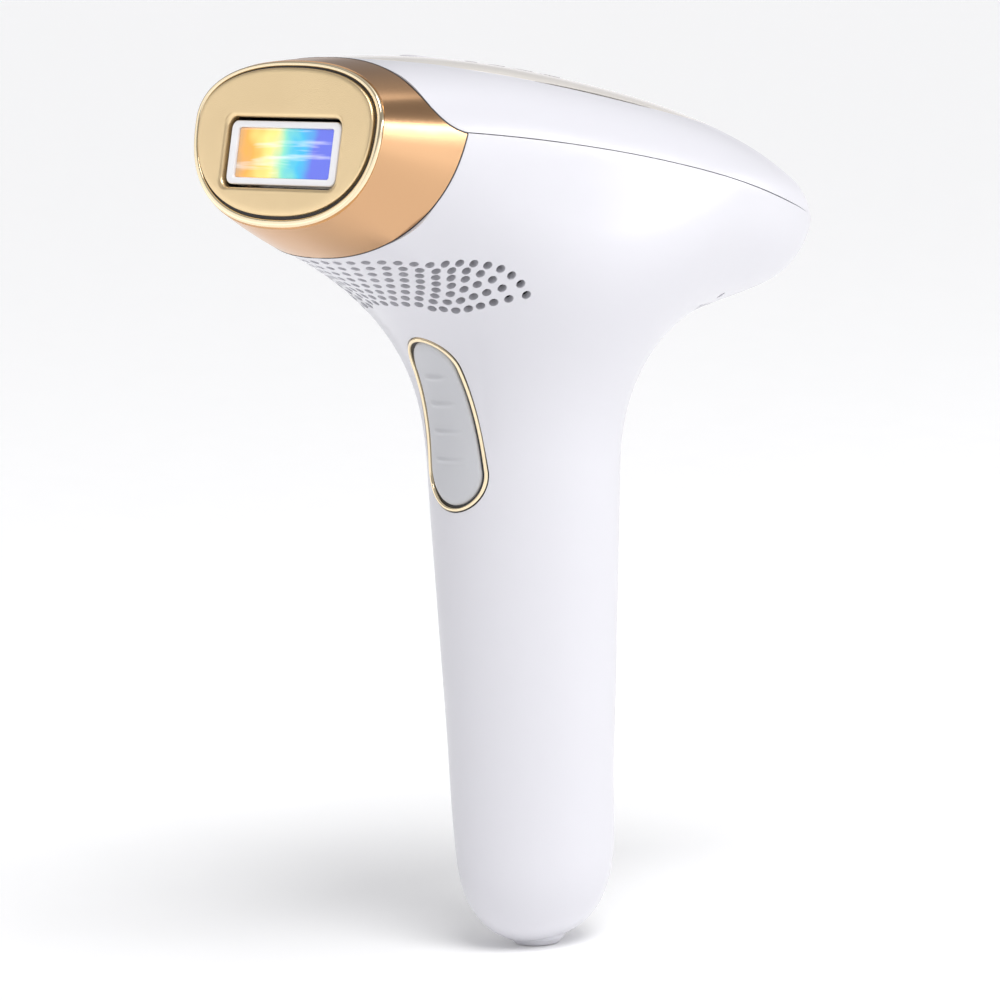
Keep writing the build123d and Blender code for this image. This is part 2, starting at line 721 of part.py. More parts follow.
with BuildPart() as level_lights:
    for k in range(4):
        station = LIGHTS_P + (k - 1.5) * LIGHT_PITCH
        with BuildSketch(control_top):
            with Locations((station - CONTROL_P, 0)):
                Circle(1.2)
        extrude(amount=crest_q(station) - KEY_RECESS - CONTROL_Q)

# ---- trigger ------------------------------------------------------------------------------
with BuildPart() as trigger_ring:
    loft(sections=trigger_skin(-0.35, WALL + 0.4))
    extrude(trigger_outline(0), amount=45, dir=(0, -1, 0), mode=Mode.INTERSECT)
    extrude(trigger_outline(TRIGGER_RING), amount=45, dir=(0, -1, 0), mode=Mode.SUBTRACT)

SWITCH_TIP = 14.0  # the trigger switch reaches this far forward of the grip axis
with BuildPart() as trigger_button:
    loft(sections=trigger_skin(-0.15, WALL + 0.2))
    extrude(trigger_outline(TRIGGER_RING + 0.35), amount=45, dir=(0, -1, 0), mode=Mode.INTERSECT)
    with BuildSketch(Plane.XZ.offset(SWITCH_TIP + TRIGGER_TRAVEL + 0.2)):
        with Locations((0, 122)):
            Circle(3.4)
    extrude(amount=8.4)

with BuildPart() as trigger_board:
    with BuildSketch(Plane.XZ.offset(9.6)):
        with Locations((0, 124)):
            RectangleRounded(20, 44, 2)
    extrude(amount=-1.4)

with BuildPart() as trigger_switch:
    with BuildSketch(Plane.XZ.offset(9.6)):
        with Locations((0, 122)):
            Rectangle(6.2, 6.2)
    extrude(amount=3.0)
    with BuildSketch(Plane.XZ.offset(SWITCH_TIP)):
        with Locations((0, 122)):
            Circle(1.6)
    extrude(amount=-1.4)

with BuildPart() as trigger_spring:
    with BuildLine() as coil:
        Helix(pitch=2.5, height=14, radius=2.4, center=(0, -10, 136), direction=(0, -1, 0))
    with BuildSketch(Plane(coil.line @ 0, z_dir=coil.line % 0)):
        Circle(0.35)
    sweep()

# ---- grip ---------------------------------------------------------------------------------
with BuildPart() as main_capacitor:
    with BuildSketch(Plane.XY.offset(40)):
        Circle(13)
    extrude(amount=44)
    fillet(main_capacitor.edges().filter_by(GeomType.CIRCLE), 1.2)

with BuildPart() as capacitor_clamp:
    with BuildSketch(Plane.XY.offset(58)):
        Circle(14.4)
        Circle(13.1, mode=Mode.SUBTRACT)
    extrude(amount=8)

with BuildPart() as inlet_collar:
    with BuildSketch(Plane.XY):
        Circle(INLET_RADIUS + INLET_WALL)
    extrude(amount=INLET_DEPTH)
    chamfer(inlet_collar.edges().group_by(Axis.Z)[0], 1.4)
    with BuildSketch(Plane.XY.offset(INLET_DEPTH)):
        Circle(INLET_RADIUS + INLET_WALL + 1.0)
    extrude(amount=1.0)
    with BuildSketch(Plane.XY):
        Circle(INLET_RADIUS)
    extrude(amount=INLET_DEPTH, mode=Mode.SUBTRACT)
    with BuildSketch(Plane.XY.offset(INLET_DEPTH)):
        Rectangle(11.2, 11.2)
    extrude(amount=1.0, mode=Mode.SUBTRACT)

with BuildPart() as inlet_jack:
    with BuildSketch(Plane.XY.offset(INLET_DEPTH)):
        Rectangle(11, 11)
        Circle(2.9, mode=Mode.SUBTRACT)
    extrude(amount=11)
    with BuildSketch(Plane.XY.offset(INLET_DEPTH + 10)):
        Rectangle(11, 11)
    extrude(amount=1.5)
    with BuildSketch(Plane.XY.offset(INLET_DEPTH + 1)):
        Circle(1.0)
    extrude(amount=9.5)

JACK_TOP = INLET_DEPTH + 11.5
with BuildPart() as inlet_leads:
    for side in (-1, 1):
        board_end = head_point(9, BOARD_Q - BOARD_THICKNESS, 18.5 * side)
        route = [
            (3 * side, 0, JACK_TOP),
            (3 * side, 0, JACK_TOP + 8),
            (3 * side, 16.4, JACK_TOP + 22),
            (3 * side, 17.2, 100),
            (9 * side, 12, 135),
            tuple(board_end - Vector(0, -1, 18)),
            tuple(board_end),
        ]
        with BuildLine() as lead:
            FilletPolyline(*route, radius=4)
        with BuildSketch(Plane(lead.line @ 0, z_dir=lead.line % 0)):
            Circle(0.8)
        sweep(path=lead.line)

# ---- labels and files ---------------------------------------------------------------------
PIECES = {
    name: piece.part
    for name, piece in list(globals().items())
    if isinstance(piece, BuildPart)
}
os.makedirs("parts", exist_ok=True)
for name, part in PIECES.items():
    part.label = name
    export_step(part, f"parts/{name}.step")
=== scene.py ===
"""Looks of a pistol-shaped pulsed light hair remover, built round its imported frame.

Lengths are in millimetres inside the classes and turned into metres when a mesh is made.
The head has its own directions: p runs from the lamp window to the tail, q towards the top.
"""

import logging
from dataclasses import dataclass, field
from enum import Enum
from typing import Sequence

import bmesh
import bpy
import numpy as np
from mathutils import Matrix, Vector

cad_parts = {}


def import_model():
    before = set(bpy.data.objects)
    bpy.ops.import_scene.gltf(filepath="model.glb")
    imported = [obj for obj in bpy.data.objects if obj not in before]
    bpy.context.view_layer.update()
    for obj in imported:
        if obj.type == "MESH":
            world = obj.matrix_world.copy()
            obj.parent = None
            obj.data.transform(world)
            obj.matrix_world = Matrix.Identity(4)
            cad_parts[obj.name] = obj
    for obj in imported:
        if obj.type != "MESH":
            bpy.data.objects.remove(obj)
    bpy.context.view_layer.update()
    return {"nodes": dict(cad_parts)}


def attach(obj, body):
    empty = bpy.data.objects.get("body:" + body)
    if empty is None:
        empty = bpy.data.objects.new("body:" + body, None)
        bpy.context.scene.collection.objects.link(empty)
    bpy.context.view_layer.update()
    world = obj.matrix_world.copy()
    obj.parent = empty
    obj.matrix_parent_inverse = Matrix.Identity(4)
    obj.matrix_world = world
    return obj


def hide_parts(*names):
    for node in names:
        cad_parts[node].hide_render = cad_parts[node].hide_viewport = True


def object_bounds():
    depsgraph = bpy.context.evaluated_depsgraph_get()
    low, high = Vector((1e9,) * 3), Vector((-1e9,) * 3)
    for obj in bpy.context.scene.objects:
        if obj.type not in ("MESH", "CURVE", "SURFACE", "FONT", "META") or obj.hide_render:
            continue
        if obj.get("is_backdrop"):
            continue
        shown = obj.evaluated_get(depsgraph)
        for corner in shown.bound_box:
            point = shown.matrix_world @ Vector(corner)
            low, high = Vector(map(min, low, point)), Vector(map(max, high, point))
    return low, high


LOG = logging.getLogger("hair_remover")
MM = 0.001
TINY = 1e-6
HALVINGS = 40  # of the range, in each search for a skin or an outline
Colour = tuple[float, float, float]
Nodes = dict[str, bpy.types.Object]


# ---- the outer form ------------------------------------------------------------------------
@dataclass(frozen=True)
class Swell:
    """One half-size of the head along p: an oval run to the tail, a soft drop to the lamp end."""

    peak: float
    peak_p: float
    fullness: float
    bluntness: float
    nose_drop: float
    nose_power: float
    nose_run: float = 50.0

    def at(self, p: np.ndarray, tail_tip: float) -> np.ndarray:
        """The half-size at stations along the head.

        Args:
            p: the stations.
            tail_tip: the station at which the oval closes.

        Returns:
            The half-size at each station.
        """
        aft = np.clip((p - self.peak_p) / (tail_tip - self.peak_p), 0, 1 - TINY)
        fore = np.maximum(self.peak_p - p, 0) / self.nose_run
        oval = self.peak * (1 - aft**self.fullness) ** (1 / self.bluntness)
        return oval - self.nose_drop * fore**self.nose_power


@dataclass(frozen=True)
class OuterForm:
    """The body's skin as a formula: head and grip run into each other."""

    head_height: float = 185.0
    tilt: float = float(np.radians(12.5))
    rounding: float = 2.35
    width: Swell = Swell(32.9, -8, 2.25, 1.83, 1.8, 2.25)
    top: Swell = Swell(19.85, 12, 2.2, 1.57, 2.4, 2.52)
    belly: Swell = Swell(35.5, -22, 2.3, 1.7, 7.0, 2.7)
    tail_tip: float = 101.4
    tail_margin: float = 0.05
    nose_station: float = -90.0
    nose_end: float = 92.0
    nose_blend: float = 16.0
    waist_start: float = -20.0  # the widest line drops from here to the lamp end
    waist_run: float = 70.0
    waist_fall: float = 5.0
    grip_half: tuple[float, float] = (16.2, 18.9)
    grip_flare: float = 0.045
    flare_shares: tuple[float, float] = (0.91, 1.11)
    foot_drop: float = 0.3
    foot_blend: float = 22.0
    grip_top: float = 150.0
    grip_top_blend: float = 10.0
    neck_blend: float = 36.0
    head_reach: float = 60.0  # past the skin, sideways or up from the head's axis
    grip_reach: float = 90.0
    grip_core_y: float = -4.0

    def half_width(self, p: np.ndarray) -> np.ndarray:
        """Half the head's width at p."""
        return self.width.at(p, self.tail_tip)

    def top_height(self, p: np.ndarray) -> np.ndarray:
        """Head axis to crest at p."""
        return self.top.at(p, self.tail_tip)

    def belly_depth(self, p: np.ndarray) -> np.ndarray:
        """Head axis to belly at p."""
        return self.belly.at(p, self.tail_tip)

    def widest_q(self, p: np.ndarray) -> np.ndarray:
        """The q at which the section is widest."""
        t = np.clip((self.waist_start - p) / self.waist_run, 0, 1)
        return -self.waist_fall * t * t * (3 - 2 * t)

    @staticmethod
    def smooth_max(a: np.ndarray, b: np.ndarray, blend: float) -> np.ndarray:
        """The larger of two fields, rounded where they meet."""
        overlap = np.maximum(blend - np.abs(a - b), 0) / blend
        return np.maximum(a, b) + overlap**2 * blend / 4

    def head_field(self, x: np.ndarray, p: np.ndarray, q: np.ndarray) -> np.ndarray:
        """The head's own field.

        Args:
            x: places across the head.
            p: places along it.
            q: places up it.

        Returns:
            Negative inside the head, about zero on its skin.
        """
        station = np.clip(p, self.nose_station, self.tail_tip - self.tail_margin)
        middle = self.widest_q(station)
        up, n = q - middle, self.rounding
        height = np.where(
            up > 0, self.top_height(station) - middle, self.belly_depth(station) + middle
        )
        rho = (np.abs(x / self.half_width(station)) ** n + np.abs(up / height) ** n) ** (1 / n)
        oval = np.hypot(x, up) * (1 - 1 / np.maximum(rho, TINY))
        closed = np.maximum(oval, p - self.tail_tip)
        return self.smooth_max(closed, -(p + self.nose_end), self.nose_blend)

    def grip_field(self, x: np.ndarray, y: np.ndarray, z: np.ndarray) -> np.ndarray:
        """The grip's own field: an oval that widens upwards from a rounded foot.

        Args:
            x: places across the grip.
            y: places from its front to its back.
            z: heights.

        Returns:
            Negative inside the grip, about zero on its skin.
        """
        flare = self.grip_flare * z
        half_width = self.grip_half[0] + self.flare_shares[0] * flare
        half_depth = self.grip_half[1] + self.flare_shares[1] * flare
        rho = np.hypot(x / half_width, y / half_depth)
        oval = np.hypot(x, y) * (1 - 1 / np.maximum(rho, TINY))
        footed = self.smooth_max(oval, -z - self.foot_drop, self.foot_blend)
        return self.smooth_max(footed, z - self.grip_top, self.grip_top_blend)

    def level(self, xyz: np.ndarray) -> np.ndarray:
        """Negative inside the body, about zero on its skin.

        Args:
            xyz: points in millimetres, in the last axis.

        Returns:
            The field's value at each point.
        """
        x, y, z = np.moveaxis(np.asarray(xyz, float), -1, 0)
        c, s = np.cos(self.tilt), np.sin(self.tilt)
        p, q = y * c - (z - self.head_height) * s, y * s + (z - self.head_height) * c
        head, grip = self.head_field(x, p, q), self.grip_field(x, y, z)
        return -self.smooth_max(-head, -grip, self.neck_blend)

    def slope(self, xyz: np.ndarray, step: float = 0.05) -> np.ndarray:
        """Gradient of the field at each point.

        Args:
            xyz: points in millimetres, in the last axis.
            step: half the distance over which the field is compared.

        Returns:
            The gradient, in the last axis.
        """
        shifts = np.eye(3) * step
        return np.stack(
            [(self.level(xyz + d) - self.level(xyz - d)) / (2 * step) for d in shifts], axis=-1
        )

    def normal(self, xyz: np.ndarray) -> np.ndarray:
        """Outward unit normal of the skin near each point."""
        g = self.slope(xyz)
        return g / np.linalg.norm(g, axis=-1, keepdims=True)

    def hit(self, start: np.ndarray, heading: np.ndarray, far: float) -> np.ndarray:
        """Where rays from inside the body meet its skin.

        Args:
            start: points inside the body.
            heading: unit directions.
            far: a distance past the skin.

        Returns:
            The points on the skin.
        """
        near, out = np.zeros(start.shape[:-1]), np.full(start.shape[:-1], far)
        for _ in range(HALVINGS):
            mid = (near + out) / 2
            outside = self.level(start + mid[..., None] * heading) > 0
            near, out = np.where(outside, near, mid), np.where(outside, mid, out)
        return start + near[..., None] * heading

    def head_point(self, p: np.ndarray, q: np.ndarray, x: np.ndarray) -> np.ndarray:
        """Points given along and across the head, in the frame's axes.

        Args:
            p: places along the head.
            q: places up it.
            x: places across it.

        Returns:
            The points, with their coordinates in the last axis.
        """
        c, s = np.cos(self.tilt), np.sin(self.tilt)
        p, q, x = np.broadcast_arrays(*(np.asarray(v, float) for v in (p, q, x)))
        return np.stack([x, p * c + q * s, self.head_height - p * s + q * c], axis=-1)

    def crest(self, p: np.ndarray, x: np.ndarray) -> np.ndarray:
        """Points of the top skin.

        Args:
            p: places along the head.
            x: places across it.

        Returns:
            The point of the skin straight above each place on the head's axis plane.
        """
        c, s = np.cos(self.tilt), np.sin(self.tilt)
        start = self.head_point(p, 0.0, x)
        return self.hit(start, np.broadcast_to([0.0, s, c], start.shape), self.head_reach)

    def front(self, x: np.ndarray, z: np.ndarray) -> np.ndarray:
        """Points of the front skin of the grip and neck.

        Args:
            x: places across the grip.
            z: heights.

        Returns:
            The point of the skin straight in front of each place.
        """
        start = np.stack([x, np.zeros_like(x) + self.grip_core_y, z], axis=-1)
        return self.hit(start, np.broadcast_to([0.0, -1.0, 0.0], start.shape), self.grip_reach)


FORM = OuterForm()


# ---- mesh helpers --------------------------------------------------------------------------
def link_mesh(name: str, points: np.ndarray, faces: Sequence[Sequence[int]]) -> bpy.types.Object:
    """Makes a smooth-shaded mesh object.

    Args:
        name: name of the new piece.
        points: its vertices in millimetres.
        faces: the vertices round each face.

    Returns:
        The new object, linked to the scene.
    """
    mesh = bpy.data.meshes.new(name)
    mesh.from_pydata([tuple(v) for v in np.asarray(points) * MM], [], [tuple(f) for f in faces])
    mesh.validate()
    mesh.shade_smooth()
    obj = bpy.data.objects.new(name, mesh)
    bpy.context.scene.collection.objects.link(obj)
    return obj


def loop_solid(
    name: str, loops: Sequence[np.ndarray], cap_first: bool = False, cap_last: bool = False
) -> bpy.types.Object:
    """Skins closed loops of equal length with quads.

    Args:
        name: name of the new piece.
        loops: rings of points, in order along the skin.
        cap_first: closes the first ring with a fan about its middle.
        cap_last: closes the last ring the same way.

    Returns:
        The new object, whose normals point outwards.
    """
    count = len(loops[0])
    points = [np.asarray(loop) for loop in loops]
    faces = []
    for row in range(len(loops) - 1):
        a, b = row * count, (row + 1) * count
        for k in range(count):
            n = (k + 1) % count
            faces.append((a + k, a + n, b + n, b + k))
    stacked = np.concatenate(points)
    for wanted, base in ((cap_first, 0), (cap_last, (len(loops) - 1) * count)):
        if wanted:
            centre = len(stacked)
            stacked = np.vstack([stacked, stacked[base : base + count].mean(0)])
            faces += [(base + k, base + (k + 1) % count, centre) for k in range(count)]
    obj = link_mesh(name, stacked, faces)
    face_outwards(obj)
    return obj


def face_outwards(obj: bpy.types.Object) -> None:
    """Makes every face of a closed piece look outwards.

    Args:
        obj: the piece.
    """
    work = bmesh.new()
    work.from_mesh(obj.data)
    bmesh.ops.recalc_face_normals(work, faces=work.faces)
    work.to_mesh(obj.data)
    work.free()


def closed_ring(loops: list[np.ndarray]) -> list[np.ndarray]:
    """The loops with the first repeated at the end, for a piece shaped like a ring."""
    return loops + [loops[0]]


def round_over(
    start: tuple[float, float], end: tuple[float, float], corner: tuple[float, float], steps: int = 6
) -> list[tuple[float, float]]:
    """A quarter oval in a piece's profile.

    Args:
        start: first point.
        end: last point.
        corner: the point that the oval bulges towards.
        steps: how many points it has.

    Returns:
        The points from start to end.
    """
    turn = np.linspace(0, np.pi / 2, steps)
    s, e, c = (np.array(v) for v in (start, end, corner))
    return [tuple(s * (1 - np.sin(t)) + e * (1 - np.cos(t)) + c * (np.sin(t) + np.cos(t) - 1))
            for t in turn]


def with_creases(obj: bpy.types.Object, angle: float = 35.0) -> None:
    """Keeps edges sharper than the angle crisp and the rest smooth."""
    obj.data.set_sharp_from_angle(angle=float(np.radians(angle)))


# ---- shared shader effects -----------------------------------------------------------------
class Effect(Enum):
    """Shader node groups that more than one finish uses."""

    SMUDGES = "handling_smudges"
    GRAIN = "moulded_grain"
    FLECKS = "fine_flecks"
    # pale streaks mixed towards white in the filter glass's colour and glow: painted highlights
    HIGHLIGHT_STREAKS = "painted_highlight_streaks"


def new_group(effect: Effect, inputs: dict[str, float], outputs: Sequence[str]) -> bpy.types.NodeTree:
    """Starts a shader group.

    Args:
        effect: the effect that the group will hold.
        inputs: its value inputs and their defaults.
        outputs: names of its value outputs.

    Returns:
        The group, with its input and output nodes named in and out.
    """
    tree = bpy.data.node_groups.new(effect.value, "ShaderNodeTree")
    for name, value in inputs.items():
        socket = tree.interface.new_socket(name, in_out="INPUT", socket_type="NodeSocketFloat")
        socket.default_value = value
    for name in outputs:
        tree.interface.new_socket(name, in_out="OUTPUT", socket_type="NodeSocketFloat")
    tree.nodes.new("NodeGroupInput").name = "in"
    tree.nodes.new("NodeGroupOutput").name = "out"
    return tree


def noise_chain(
    tree: bpy.types.NodeTree, stretch: tuple[float, float, float], detail: float, rough: float = 0.55
) -> bpy.types.Node:
    """Noise over object coordinates, whose scale comes from the group's Scale.

    Args:
        tree: the group.
        stretch: how much finer the noise is along each axis.
        detail: its number of octaves.
        rough: how strong the finer octaves are.

    Returns:
        The noise node.
    """
    place, mapping = tree.nodes.new("ShaderNodeTexCoord"), tree.nodes.new("ShaderNodeMapping")
    noise = tree.nodes.new("ShaderNodeTexNoise")
    mapping.inputs["Scale"].default_value = stretch
    noise.inputs["Detail"].default_value = detail
    noise.inputs["Roughness"].default_value = rough
    tree.links.new(place.outputs["Object"], mapping.inputs["Vector"])
    tree.links.new(mapping.outputs["Vector"], noise.inputs["Vector"])
    tree.links.new(tree.nodes["in"].outputs["Scale"], noise.inputs["Scale"])
    return noise


def ranged(
    tree: bpy.types.NodeTree, source: bpy.types.NodeSocket, window: tuple[float, float], out: str
) -> None:
    """Maps a source to the range between the group's Low and High inputs.

    Args:
        tree: the group.
        source: the socket that is mapped.
        window: the part of its range that fills Low to High.
        out: name of the output that takes the result.
    """
    spread = tree.nodes.new("ShaderNodeMapRange")
    spread.inputs["From Min"].default_value, spread.inputs["From Max"].default_value = window
    tree.links.new(source, spread.inputs["Value"])
    tree.links.new(tree.nodes["in"].outputs["Low"], spread.inputs["To Min"])
    tree.links.new(tree.nodes["in"].outputs["High"], spread.inputs["To Max"])
    tree.links.new(spread.outputs["Result"], tree.nodes["out"].inputs[out])


def build_effect(effect: Effect) -> bpy.types.NodeTree:
    """Builds one shared effect, or finds it if it is there already.

    Args:
        effect: which effect.

    Returns:
        Its shader group.
    """
    if effect.value in bpy.data.node_groups:
        return bpy.data.node_groups[effect.value]
    match effect:
        case Effect.SMUDGES:
            tree = new_group(effect, {"Scale": 40, "Low": 0.1, "High": 0.2}, ["Roughness"])
            noise = noise_chain(tree, (1, 1, 1), 4)
            ranged(tree, noise.outputs["Fac"], (0.35, 0.68), "Roughness")
        case Effect.GRAIN:
            tree = new_group(effect, {"Scale": 900, "Low": 0, "High": 1}, ["Height"])
            noise = noise_chain(tree, (1, 1, 1), 2)
            ranged(tree, noise.outputs["Fac"], (0.25, 0.75), "Height")
        case Effect.FLECKS:
            tree = new_group(effect, {"Scale": 700, "Low": 0, "High": 1}, ["Mask"])
            noise = noise_chain(tree, (1, 1, 1), 1)
            ranged(tree, noise.outputs["Fac"], (0.5, 0.8), "Mask")
        case Effect.HIGHLIGHT_STREAKS:
            # painted highlight streaks, long along the window
            tree = new_group(effect, {"Scale": 30, "Low": 0, "High": 0.8}, ["Mask"])
            noise = noise_chain(tree, (1.2, 14, 14), 3)
            ranged(tree, noise.outputs["Fac"], (0.54, 0.74), "Mask")
    return tree


@dataclass(frozen=True)
class Finish:
    """A finish that becomes one material: a smooth skin with smudges and a fine grain."""

    name: str
    colour: Colour
    metallic: float = 0.0
    low_rough: float = 0.10
    high_rough: float = 0.20
    smudge_scale: float = 45.0
    grain_scale: float = 1400.0
    grain_depth: float = 0.02
    coat: float = 0.0
    coat_rough: float = 0.05
    transmission: float = 0.0
    ior: float = 1.46
    second_colour: Colour | None = None
    emission: float = 0.0
    bump_depth: float = 0.0004
    slot: str = ""  # the record's slot, where it isn't named as the finish is

    def material(self) -> bpy.types.Material:
        """Builds the material once and gives it back after that.

        Returns:
            The finish's material.
        """
        title = f"{self.name}_finish"
        if title in bpy.data.materials:
            return bpy.data.materials[title]
        mat = bpy.data.materials.new(title)
        mat.use_nodes = True
        tree = mat.node_tree
        shader = tree.nodes["Principled BSDF"]
        self.set_constants(shader)
        self.link_roughness(tree, shader)
        self.link_bump(tree, shader)
        self.link_colour(tree, shader)
        mat.diffuse_color = (*self.colour, 1)
        return mat

    def set_constants(self, shader: bpy.types.Node) -> None:
        """Sets what is the same all over the surface, on the shader's own sockets.

        Args:
            shader: the material's shader.
        """
        values = {
            "Base Color": (*self.colour, 1), "Metallic": self.metallic, "IOR": self.ior,
            "Coat Weight": self.coat, "Coat Roughness": self.coat_rough,
            "Transmission Weight": self.transmission, "Emission Color": (*self.colour, 1),
            "Emission Strength": self.emission,
        }
        for socket, value in values.items():
            shader.inputs[socket].default_value = value

    def place_group(self, tree: bpy.types.NodeTree, effect: Effect, **values: float) -> bpy.types.Node:
        """Places a shared effect in the material.

        Args:
            tree: the material's nodes.
            effect: which effect.
            values: the material's own values for the effect's inputs.

        Returns:
            The group node.
        """
        node = tree.nodes.new("ShaderNodeGroup")
        node.node_tree = build_effect(effect)
        for name, value in values.items():
            node.inputs[name].default_value = value
        return node

    def link_roughness(self, tree: bpy.types.NodeTree, shader: bpy.types.Node) -> None:
        """Lets the roughness wander between low and high.

        Args:
            tree: the material's nodes.
            shader: its shader.
        """
        node = self.place_group(
            tree, Effect.SMUDGES, Scale=self.smudge_scale, Low=self.low_rough, High=self.high_rough
        )
        tree.links.new(node.outputs["Roughness"], shader.inputs["Roughness"])

    def link_bump(self, tree: bpy.types.NodeTree, shader: bpy.types.Node) -> None:
        """Adds a fine moulded grain, as a bump.

        Args:
            tree: the material's nodes.
            shader: its shader.
        """
        height = self.place_group(tree, Effect.GRAIN, Scale=self.grain_scale)
        bump = tree.nodes.new("ShaderNodeBump")
        bump.inputs["Strength"].default_value = self.grain_depth
        bump.inputs["Distance"].default_value = self.bump_depth
        tree.links.new(height.outputs["Height"], bump.inputs["Height"])
        tree.links.new(bump.outputs["Normal"], shader.inputs["Normal"])

    def link_colour(self, tree: bpy.types.NodeTree, shader: bpy.types.Node) -> None:
        """Adds flecks of the second colour, where the finish has one.

        Args:
            tree: the material's nodes.
            shader: its shader.
        """
        if self.second_colour is None:
            return
        flecks = self.place_group(tree, Effect.FLECKS, Scale=self.grain_scale)
        mix = tree.nodes.new("ShaderNodeMix")
        mix.data_type = "RGBA"
        mix.inputs["A"].default_value = (*self.colour, 1)
        mix.inputs["B"].default_value = (*self.second_colour, 1)
        tree.links.new(flecks.outputs["Mask"], mix.inputs["Factor"])
        tree.links.new(mix.outputs["Result"], shader.inputs["Base Color"])


@dataclass(frozen=True)
class FilterCoating(Finish):
    """Glass with an interference coating: its tint wanders from amber to violet across it. Pale
    painted highlight streaks lie over the tints, and the glass glows faintly with both, which is
    painted light.
    """

    half_length: float = 15.0
    bend_scale: float = 110.0
    bend_depth: float = 14.0  # how far the noise can push the tint along the window
    streak_scale: float = 30.0
    tints: tuple[tuple[float, Colour], ...] = (
        (0.00, (0.50, 0.34, 0.20)), (0.16, (0.92, 0.42, 0.06)), (0.34, (1.00, 0.80, 0.22)),
        (0.50, (0.25, 0.75, 0.55)), (0.64, (0.04, 0.50, 0.80)), (0.82, (0.12, 0.16, 0.75)),
    )

    def link_colour(self, tree: bpy.types.NodeTree, shader: bpy.types.Node) -> None:
        """Lays the tints along the window, bent by a soft noise, with pale painted highlight streaks
        over them.

        Args:
            tree: the material's nodes.
            shader: its shader.
        """
        place, split = tree.nodes.new("ShaderNodeTexCoord"), tree.nodes.new("ShaderNodeSeparateXYZ")
        noise, add = tree.nodes.new("ShaderNodeTexNoise"), tree.nodes.new("ShaderNodeMath")
        noise.inputs["Scale"].default_value = self.bend_scale
        add.operation = "MULTIPLY_ADD"
        add.inputs[1].default_value = self.bend_depth * MM
        spread, ramp = tree.nodes.new("ShaderNodeMapRange"), tree.nodes.new("ShaderNodeValToRGB")
        middle = self.bend_depth / 2
        spread.inputs["From Min"].default_value = (middle - self.half_length) * MM
        spread.inputs["From Max"].default_value = (middle + self.half_length) * MM
        for k, (spot, tint) in enumerate(self.tints):
            stop = ramp.color_ramp.elements[k] if k < 2 else ramp.color_ramp.elements.new(spot)
            stop.position, stop.color = spot, (*tint, 1)
        tree.links.new(place.outputs["Object"], split.inputs["Vector"])
        tree.links.new(place.outputs["Object"], noise.inputs["Vector"])
        tree.links.new(noise.outputs["Fac"], add.inputs[0])
        tree.links.new(split.outputs["X"], add.inputs[2])
        tree.links.new(add.outputs["Value"], spread.inputs["Value"])
        tree.links.new(spread.outputs["Result"], ramp.inputs["Fac"])
        # white streaks mixed into the tint: painted highlights on the glass
        streaks = self.place_group(tree, Effect.HIGHLIGHT_STREAKS, Scale=self.streak_scale)
        mix = tree.nodes.new("ShaderNodeMix")
        mix.data_type = "RGBA"
        mix.inputs["B"].default_value = (1.0, 1.0, 1.0, 1)
        tree.links.new(streaks.outputs["Mask"], mix.inputs["Factor"])
        tree.links.new(ramp.outputs["Color"], mix.inputs["A"])
        # the same colour drives the emission, so the glass glows with its tints and streaks: painted
        # light, the filter is no lamp
        for socket in ("Base Color", "Emission Color"):
            tree.links.new(mix.outputs["Result"], shader.inputs[socket])


WHITE_SHELL = Finish("white_shell", (0.685, 0.68, 0.72), low_rough=0.29, high_rough=0.35, coat=0.12,
                     coat_rough=0.12, grain_depth=0.01)
PEARL_STRIP = Finish("pearl_strip", (0.86, 0.81, 0.75), low_rough=0.16, high_rough=0.24, coat=0.5,
                     second_colour=(0.88, 0.82, 0.76), grain_scale=2200, grain_depth=0.01)
WHITE_BEZEL = Finish("white_bezel", (0.88, 0.88, 0.90), low_rough=0.18, high_rough=0.26, coat=0.3)
ROSE_GOLD = Finish("rose_gold", (0.64, 0.38, 0.205), metallic=1.0, low_rough=0.20, high_rough=0.25,
                   smudge_scale=30, grain_depth=0.006)
POLISHED_GOLD = Finish("polished_gold", (0.95, 0.80, 0.55), metallic=1.0, low_rough=0.08,
                       high_rough=0.14, grain_depth=0.006)
SATIN_GOLD = Finish("satin_gold", (0.88, 0.68, 0.40), metallic=1.0, low_rough=0.30, high_rough=0.38,
                    smudge_scale=60, grain_scale=5200, grain_depth=0.16)
# emission 0.22 makes the filter glow: painted light, the glass is no lamp
FILTER_GLASS = FilterCoating("filter_glass", (0.45, 0.60, 0.70), metallic=0.6, emission=0.22,
                             low_rough=0.06, high_rough=0.10, coat=1.0, coat_rough=0.02,
                             grain_depth=0.004)
MIRROR = Finish("mirror_metal", (0.92, 0.92, 0.92), metallic=1.0, low_rough=0.04, high_rough=0.09)
LAMP_GLASS = Finish("lamp_glass", (0.97, 0.98, 1.0), transmission=0.9, low_rough=0.02, high_rough=0.05)
STEEL = Finish("steel", (0.62, 0.62, 0.63), metallic=1.0, low_rough=0.29, high_rough=0.40)
DARK_PLASTIC = Finish("dark_plastic", (0.035, 0.035, 0.04), low_rough=0.42, high_rough=0.58,
                      grain_depth=0.12, grain_scale=2600)
BRASS = Finish("contact_brass", (0.85, 0.64, 0.30), metallic=1.0, low_rough=0.18, high_rough=0.26)
ALUMINIUM = Finish("aluminium", (0.78, 0.79, 0.80), metallic=1.0, low_rough=0.29, high_rough=0.42,
                   grain_depth=0.08)
CIRCUIT_BOARD = Finish("circuit_board", (0.02, 0.16, 0.07), low_rough=0.30, high_rough=0.42, coat=0.3,
                       second_colour=(0.05, 0.26, 0.12), grain_scale=1200)
FERRITE = Finish("ferrite", (0.20, 0.10, 0.05), low_rough=0.35, high_rough=0.5, grain_depth=0.1)
SLEEVE = Finish("capacitor_sleeve", (0.03, 0.05, 0.12), low_rough=0.16, high_rough=0.26, coat=0.3)
